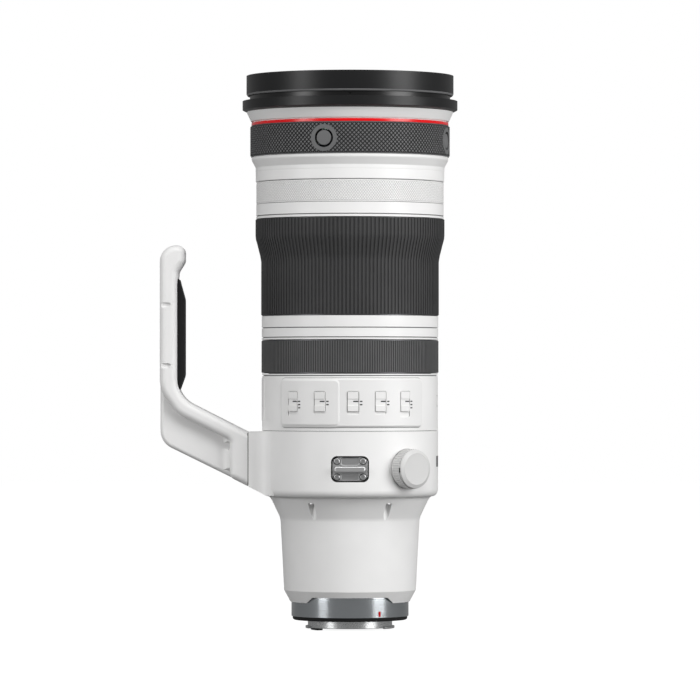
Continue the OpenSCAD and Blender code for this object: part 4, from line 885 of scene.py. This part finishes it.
# Lock knob: smooth base rim, ribbed skirt, bevelled rim and flat top
knob = dict(
    seat=51.25, ribs=50, strips=4, ribHeight=0.5, ribLow=1.3, ribTop=7.3,
    outline=[(11, 0), (11.25, 0.4), (11.25, 1.3), (11.25, 7.3), (11.25, 7.5), (11, 7.7),
             (11, 8), (11.45, 8.2), (11.3, 8.8), (9.2, 9.9), (8.9, 9.75), (4, 9.75)],
    markSize=(2.6, 0.8, 0.6), markTurn=183, markRadius=11.35, markHeight=7.65,
    grooveEdge=11.4,
)


def makeKnob():
    low, top, strips = knob["ribLow"], knob["ribTop"], knob["strips"]
    azimuth, height = collar["knobAzimuth"], collar["height"]
    piece = turnedRing(knob["outline"], knob["ribs"] * strips, True)
    raiseRibs(piece, lambda face: low * mm < face.center.z < top * mm and abs(face.normal.z) < 0.5
              and onStrip(face.center, knob["ribs"], strips), knob["ribHeight"])
    smoothFaces(piece, 35)
    finishPiece(piece, "lockKnob", "white_paint", "lock_knob", body="collar_lock",
                finish="knobPlastic")
    # The floors between the ribs get a darker finish: painted shade
    paintRing(piece, "ringGroove", 0, knob["grooveEdge"], low, top)
    setOnBarrel(piece, azimuth, height, knob["seat"])
    width, length, thickness = knob["markSize"]
    turn, radius = radians(knob["markTurn"]), knob["markRadius"]
    mark = moveTo(addBlock(thickness, width, length),
                  (radius * cos(turn), radius * sin(turn), knob["markHeight"]),
                  (0, 0, knob["markTurn"]))
    roundEdges(mark, 0.08)
    setOnBarrel(mark, azimuth, height, knob["seat"])
    finishPiece(mark, "knobMark", "black_plastic", body="collar_lock", finish="inkBlack")


# Strap lugs: steel plate with round ears at its screws and a bar across
lug = dict(
    width=20.5, height=13.8, corner=3.1, base=50.4, plate=1.2,
    recess=(10.6, 4.2, 3, 1.2), recessSide=4.4, recessDepth=0.5,
    barWidth=17.9, barHeight=3, barTop=5.2, barThick=2, barCorner=0.9,
    legWidth=2.2, screwX=7.65, screwY=4.65, screwRadius=1.75, screwHead=0.8,
    rimInner=1.6, rimOuter=2.15, rimRise=0.05,
)


def makeLug(azimuth):
    top = lug["plate"]
    plate = roundPlate(lug["width"], lug["height"], top, lug["corner"])
    for side in (-1, 1):
        recess = roundPlate(*lug["recess"])
        cutAway(plate, moveTo(recess, (0, side * lug["recessSide"], top - lug["recessDepth"])))
    roundEdges(plate, 0.4, 4)
    bar = roundPlate(lug["barWidth"], lug["barHeight"], lug["barTop"] - top + 0.3, lug["barCorner"])
    moveTo(bar, (0, 0, top - 0.3))
    under = lug["barTop"] - lug["barThick"]
    gap = addBlock(lug["barWidth"] - 2 * lug["legWidth"], 8, under - top, (0, 0, (under + top) / 2))
    bevelEdges(gap, 0.9, 4)
    cutAway(bar, gap)
    roundEdges(bar, 0.8, 5, 50)
    return setOnBarrel(joinPieces([plate, bar]), azimuth, collar["height"], lug["base"])


# A screw head with a cross recess, its top at that height
def crossHead(radius, thickness, top):
    head = turnedRing([(radius, top - thickness), (radius, top - thickness * 0.4),
                       (radius * 0.75, top)], 32, True)
    for turn in (45, 135):
        slot = addBlock(radius * 1.15, radius * 0.26, thickness, (0, 0, top + thickness * 0.05))
        cutAway(head, moveTo(slot, (0, 0, 0), (0, 0, turn)))
    smoothFaces(head, 35)
    return head


def makeLugs():
    lugs = joinPieces([makeLug(azimuth) for azimuth in (0, 180)])
    finishPiece(lugs, "strapLugs", "lug_steel", "strap_lugs", body="tripod_collar")
    face = lug["base"] + lug["plate"]
    # The plate of each lug gets a darker steel than its bar, and its foot at the collar a dark finish:
    # painted shade
    paintFaces(lugs, "lugPlate", lambda at, normal: face - 1.1 < abs(at.y) < face + 0.05)
    paintFaces(lugs, "bandGroove", lambda at, normal: abs(at.y) < face - 0.75)
    heads, shadeRings = [], []
    inner, outer, top = lug["rimInner"], lug["rimOuter"], lug["plate"] + lug["rimRise"]
    for azimuth in (0, 180):
        for x in (-lug["screwX"], lug["screwX"]):
            for y in (-lug["screwY"], lug["screwY"]):
                # A dark ring under each screw head: painted shade of the hole round it
                shadeRings.append(turnedRing([(inner, top - 0.3), (outer, top - 0.3), (outer, top),
                                        (inner, top)], 32))
                heads.append(crossHead(lug["screwRadius"], lug["screwHead"],
                                       lug["plate"] + lug["screwHead"]))
                for piece in (shadeRings[-1], heads[-1]):
                    moveTo(piece, (x, y, 0))
                    setOnBarrel(piece, azimuth, collar["height"], lug["base"])
    finishPiece(joinPieces(heads), "lugScrews", "screw_steel", "lug_screws", body="tripod_collar",
                finish="lugPlate")
    finishPiece(joinPieces(shadeRings), "lugScrewRims", "black_plastic", body="tripod_collar")


makeKnob()
makeLugs()
print("knob and lugs modelled")

# Barrel of the switches, the wells in the panel, the sliders and the plain ticks beside them
switches = dict(
    sleeve=(52.5, 48.7, 111.9, 145.5, (144.5,)), sideCap=(81, 129.4, 3.1, 50.9),
    azimuths=(-38.8, -19.3, 1.9, 19.7, 37.4), longTravel=(0, 4),
    wellFloor=52.75, wellWidth=7.2, wellTop=135.45, wellLow=121.5, wellLowLong=120,
    wellCorner=1.1, panelRadius=53.5, stepAt=-5.6, stepHeight=0.45,
    sliderWidth=6.4, sliderLow=123.4, sliderHigh=135, sliderFloor=52.8,
    sliderRise=0.35, sliderCorner=0.5, dentLow=127, dentHigh=130.7, dentDepth=0.35,
    lineHeight=129.3, lineWidth=0.72, tickAt=4.8, tickSize=(1.5, 0.72, 0.14),
    tickHeights=(129.3, 127.4, 125.5),
)

# Plates bent round the barrel: azimuths, low and high end, radius, corner, thickness, chamfer, rise
# of the chamfer, radius of the bend and strips; the raised one covers the left part of the panel
plates = {
    "panel": (-51, 54, 114, 143, switches["panelRadius"], 3.8, 1.2, 1, 0.7,
              switches["panelRadius"], 60),
    "raised": (-51, switches["stepAt"], 114, 143, switches["panelRadius"], 3.8, 0.9, 1.8, 0.8,
               switches["panelRadius"] + switches["stepHeight"], 30),
    "seam": (-51.35, 54.35, 113.7, 143.3, 52.6, 4.1, 0.3, 0.1, 0.1, 52.6, 60),
    "info": (-14, 14, 117.5, 143, 52.8, 2, 0.9, 0.3, 0.3, 52.8, 16),
}
infoAzimuth = -90


def bentPlate(name):
    first, last, low, high, radius, corner, thickness, chamfer, rise, bend, strips = plates[name]
    width = radians(last - first) * radius
    middle = radians((last + first) / 2) * radius
    piece = roundPlate(width, high - low, thickness, corner, 6)
    moveTo(piece, (middle, thickness + rise, (low + high) / 2), (90, 0, 0))
    editPicked(piece, "FACE", lambda face: face.normal.y < -0.9, bpy.ops.mesh.inset,
               thickness=chamfer * mm, depth=rise * mm)
    bendOnBarrel(piece, bend, strips)
    return piece


# How much higher the sliders in the raised part of the panel sit
def stepUnder(index):
    return switches["stepHeight"] if switches["azimuths"][index] < switches["stepAt"] else 0


def cutWell(piece, index, rise):
    low = switches["wellLowLong"] if index in switches["longTravel"] else switches["wellLow"]
    high = switches["wellTop"]
    well = roundPlate(switches["wellWidth"], high - low, 8, switches["wellCorner"], 6)
    cutAway(piece, setOnBarrel(well, switches["azimuths"][index], (low + high) / 2,
                               switches["wellFloor"] + rise))


def makeSwitchBarrel():
    shell = turnedSleeve(switches["sleeve"])
    azimuth, height, radius, floor = switches["sideCap"]
    cutAway(shell, setOnBarrel(addRod(radius + 0.35, 8, (0, 0, 4)), azimuth, height, floor))
    cap = setOnBarrel(addRod(radius, 1.7, (0, 0, 0.85)), azimuth, height, floor - 0.1)
    roundEdges(cap, 0.15)
    finishPiece(cap, "sideCap", "white_paint")
    finishSleeve(shell, switches["sleeve"], "switchShell", "switch_barrel")
    panel, raised = bentPlate("panel"), bentPlate("raised")
    # A dark sheet under the panel shows round its edge as an outline: painted shade
    finishPiece(bentPlate("seam"), "panelSeam", "panel_paint", finish="seamShade")
    for index in range(len(switches["azimuths"])):
        cutWell(panel, index, 0)
        cutWell(raised, index, stepUnder(index))
    for piece in (panel, raised):
        roundEdges(piece, 0.1, 2, 22)
    finishPiece(joinPieces([panel, raised]), "switchPanel", "panel_paint", "switch_panel")
    info = moveTo(bentPlate("info"), (0, 0, 0), (0, 0, infoAzimuth))
    roundEdges(info, 0.1)
    finishPiece(info, "infoPlate", "panel_paint")


def makeSlider(index):
    low, high, width = switches["sliderLow"], switches["sliderHigh"], switches["sliderWidth"]
    middle, azimuth = (low + high) / 2, switches["azimuths"][index]
    thick = switches["panelRadius"] + switches["sliderRise"] - switches["sliderFloor"]
    base = switches["sliderFloor"] + stepUnder(index)
    number = str(index + 1)
    body = "slider_" + number
    piece = roundPlate(width, high - low, thick, switches["sliderCorner"], 4)
    dentLow, dentHigh = switches["dentLow"], switches["dentHigh"]
    dentFloor = thick - switches["dentDepth"]
    cutAway(piece, addBlock(9, dentHigh - dentLow, 2,
                            (0, (dentHigh + dentLow) / 2 - middle, dentFloor + 1)))
    roundEdges(piece, 0.22, 3, 50)
    setOnBarrel(piece, azimuth, middle, base)
    finishPiece(piece, "switchSlider" + number, "white_plastic", "switch_" + number, body=body)
    # A dark sheet under each slider, seen in the gap round it: painted shade
    seam = roundPlate(switches["wellWidth"] - 0.1, high - low + 0.3, 0.1, switches["wellCorner"], 4)
    setOnBarrel(seam, azimuth, middle, base - 0.04)
    finishPiece(seam, "sliderSeam" + number, "white_plastic", body=body, finish="seamShade")
    line = addBlock(width / 2 - 0.2, switches["lineWidth"], 0.12,
                    (width / 4, switches["lineHeight"] - middle, dentFloor + 0.02))
    roundEdges(line, 0.04)
    setOnBarrel(line, azimuth, middle, base)
    finishPiece(line, "sliderLine" + number, "black_plastic", body=body, finish="inkBlack")


def makeTicks():
    ticks = []
    width, height, depth = switches["tickSize"]
    for index, azimuth in enumerate(switches["azimuths"]):
        radius = switches["panelRadius"] + stepUnder(index)
        count = 3 if index in switches["longTravel"] else 2
        for tall in switches["tickHeights"][:count]:
            turn = degrees(switches["tickAt"] / radius)
            ticks.append(setOnBarrel(roundPlate(width, height, depth, 0.1, 3), azimuth + turn, tall,
                                     radius - 0.08))
    finishPiece(joinPieces(ticks), "switchTicks", "black_plastic", finish="inkBlack")


makeSwitchBarrel()
for index in range(len(switches["azimuths"])):
    makeSlider(index)
makeTicks()
print("switch panel modelled")

# Mount: satin ring with its index mark, rubber seal, flange, spigot with lugs, and the contacts
mount = dict(
    ring=[(32.1, 0), (33.2, 0), (33.2, 1.1), (34.9, 1.1), (35, 1.2), (35, 9.6), (35, 14),
          (25.4, 14), (25.4, 3), (32.1, 3)],
    seal=[(33.25, 1.05), (34.3, 1.05), (34.25, -0.3), (33.9, -0.8), (33.4, -1.1), (32.7, -1),
          (32.5, -0.8), (32.1, -0.05), (33.25, -0.05)],
    flange=[(23.5, 3), (32, 3), (32, 0.15), (31.85, 0), (25.3, 0), (25.2, -0.1), (25.2, -5.5),
            (24.9, -5.8), (23.8, -5.8), (23.5, -5.5)],
    lugs=[(24.4, -6.2), (26.4, -6.2), (26.6, -6), (26.6, -4.8), (24.4, -4.8)],
    lugStarts=(53, 148, 240), lugArc=50, screwCircle=29, screwBore=1.65,
    markAzimuth=30, markSize=(1.5, 3.1, 0.14), markHeight=3.4, markRadius=34.94,
    spigotScrew=(-48, -3, 25), contacts=12, contactArc=62, contactCircle=21.6,
    contact=[(0.62, -7.0), (0.62, -7.12), (0.5, -7.18), (0.2, -7.2)],
)


# A piece of a turned ring between two azimuths
def ringPart(outline, fromAzimuth, toAzimuth):
    piece = turnedRing(outline, 360)
    for azimuth, side in ((fromAzimuth, -1), (toAzimuth, 1)):
        turn = radians(azimuth)
        editWhole(piece, bpy.ops.mesh.bisect, plane_co=(0, 0, 0), clear_outer=True, use_fill=True,
                  plane_no=(side * cos(turn), side * sin(turn), 0))
    mendNormals(piece)
    return piece


def makeBayonet():
    flange = turnedRing(mount["flange"])
    for azimuth in (0, 90, 180, 270):
        cutAway(flange, addRod(mount["screwBore"], 2.4, onCircle(mount["screwCircle"], azimuth)))
    roundEdges(flange, 0.1)
    parts = [flange]
    for start in mount["lugStarts"]:
        parts.append(ringPart(mount["lugs"], start, start + mount["lugArc"]))
        roundEdges(parts[-1], 0.15)
    finishPiece(joinPieces(parts), "bayonetFlange", "bayonet_steel", "bayonet")
    pin = setOnBarrel(crossHead(1.1, 0.5, 0.5), *mount["spigotScrew"])
    finishPiece(pin, "spigotScrew", "screw_steel")


def makeMount():
    makeRing(mount["ring"], (0.08,), "mountRing", "mount_steel", "mount_ring")
    mark = roundPlate(*mount["markSize"], 0.3, 4)
    setOnBarrel(mark, mount["markAzimuth"], mount["markHeight"], mount["markRadius"])
    finishPiece(mark, "mountMark", "red_enamel", finish="inkRed")
    seal = turnedRing(mount["seal"])
    smoothFaces(seal)
    finishPiece(seal, "mountSeal", "black_rubber", "mount_seal")
    makeBayonet()
    contacts = []
    for index in range(mount["contacts"]):
        azimuth = -90 + mount["contactArc"] * (index / (mount["contacts"] - 1) - 0.5)
        contacts.append(moveTo(turnedRing(mount["contact"], 20, True),
                               onCircle(mount["contactCircle"], azimuth)))
        smoothFaces(contacts[-1])
    finishPiece(joinPieces(contacts), "goldContacts", "screw_steel", finish="goldPlate")


makeMount()
print("mount modelled")

# The studio: the camera stands level with the middle of the lens, in metres, and soft boxes face it
studio = dict(
    cameraPlace=(0, -2.846, 0.1418), cameraTarget=(0, 0, 0.1598), focalLength=244.8,
    sensorWidth=36, farthest=50, boxTarget=(0, 0, 0.16),
    floorHeight=-7.15 * mm, floorSize=8, floorTone=0.12, floorRoughness=0.9,
    floorGlow=0.96, ambient=0.12, mirrored=0.2,
)

# Soft boxes: azimuth, height, distance, width, height of the lamp itself and radiance
softBoxes = {
    "leftBox": (-54, 0.36, 1.5, 0.48, 1.35, 6.1),
    "rightBox": (59, 0.42, 1.5, 0.7, 1.35, 7.4),
    "topBox": (6, 1.75, 1.4, 1.6, 0.9, 4.5),
}


def lookAt(piece, target):
    aim = Vector(target) - piece.location
    piece.rotation_euler = aim.to_track_quat("-Z", "Y").to_euler()


def makeCamera():
    camera = added(bpy.ops.object.camera_add, location=studio["cameraPlace"])
    lookAt(camera, studio["cameraTarget"])
    camera.data.lens = studio["focalLength"]
    camera.data.sensor_width = studio["sensorWidth"]
    camera.data.clip_end = studio["farthest"]
    bpy.context.scene.camera = camera


def addSoftBox(name):
    azimuth, height, distance, width, tall, radiance = softBoxes[name]
    lamp = added(bpy.ops.object.light_add, type="AREA", location=onCircle(distance, azimuth, height))
    lamp.name = name
    lookAt(lamp, studio["boxTarget"])
    lamp.data.shape = "RECTANGLE"
    lamp.data.size = width
    lamp.data.size_y = tall
    lamp.data.energy = radiance * pi * width * tall


# White to the camera and through glass; mirrors see the share of it that a dim studio shows
def whiteWhenSeen(tree, dim, seen):
    def combined(first, second, operation):
        return addNode(tree, "Math", {0: first, 1: second}, operation=operation).outputs[0]

    path = addNode(tree, "LightPath", {}).outputs
    mirror = combined(path["Is Glossy Ray"], studio["mirrored"], "MULTIPLY")
    seenBy = combined(path["Is Camera Ray"], mirror, "MAXIMUM")
    seenBy = combined(seenBy, path["Is Transmission Ray"], "MAXIMUM")
    return addNode(tree, "MapRange", {"To Min": dim, "To Max": seen, "Value": seenBy}).outputs["Result"]


def makeSurroundings():
    world = bpy.data.worlds.new("whiteStudio")
    bpy.context.scene.world = world
    world.use_nodes = True
    tree = world.node_tree
    feed(tree, tree.nodes["Background"], {
        "Color": (1, 1, 1, 1), "Strength": whiteWhenSeen(tree, studio["ambient"], 1)})
    floor = added(bpy.ops.mesh.primitive_plane_add, size=studio["floorSize"],
                  location=(0, 0, studio["floorHeight"]))
    floor.name = "floor"
    applyPlace(floor)
    paper, tree, shader = newMaterial("whitePaper")
    feed(tree, shader, {
        "Base Color": (*[studio["floorTone"]] * 3, 1), "Roughness": studio["floorRoughness"],
        "Emission Color": (1, 1, 1, 1),
        "Emission Strength": whiteWhenSeen(tree, 0, studio["floorGlow"])})
    floor.data.materials.append(paper)


makeCamera()
for name in softBoxes:
    addSoftBox(name)
makeSurroundings()
bpy.context.scene.view_settings.view_transform = "Standard"

print("studio ready")
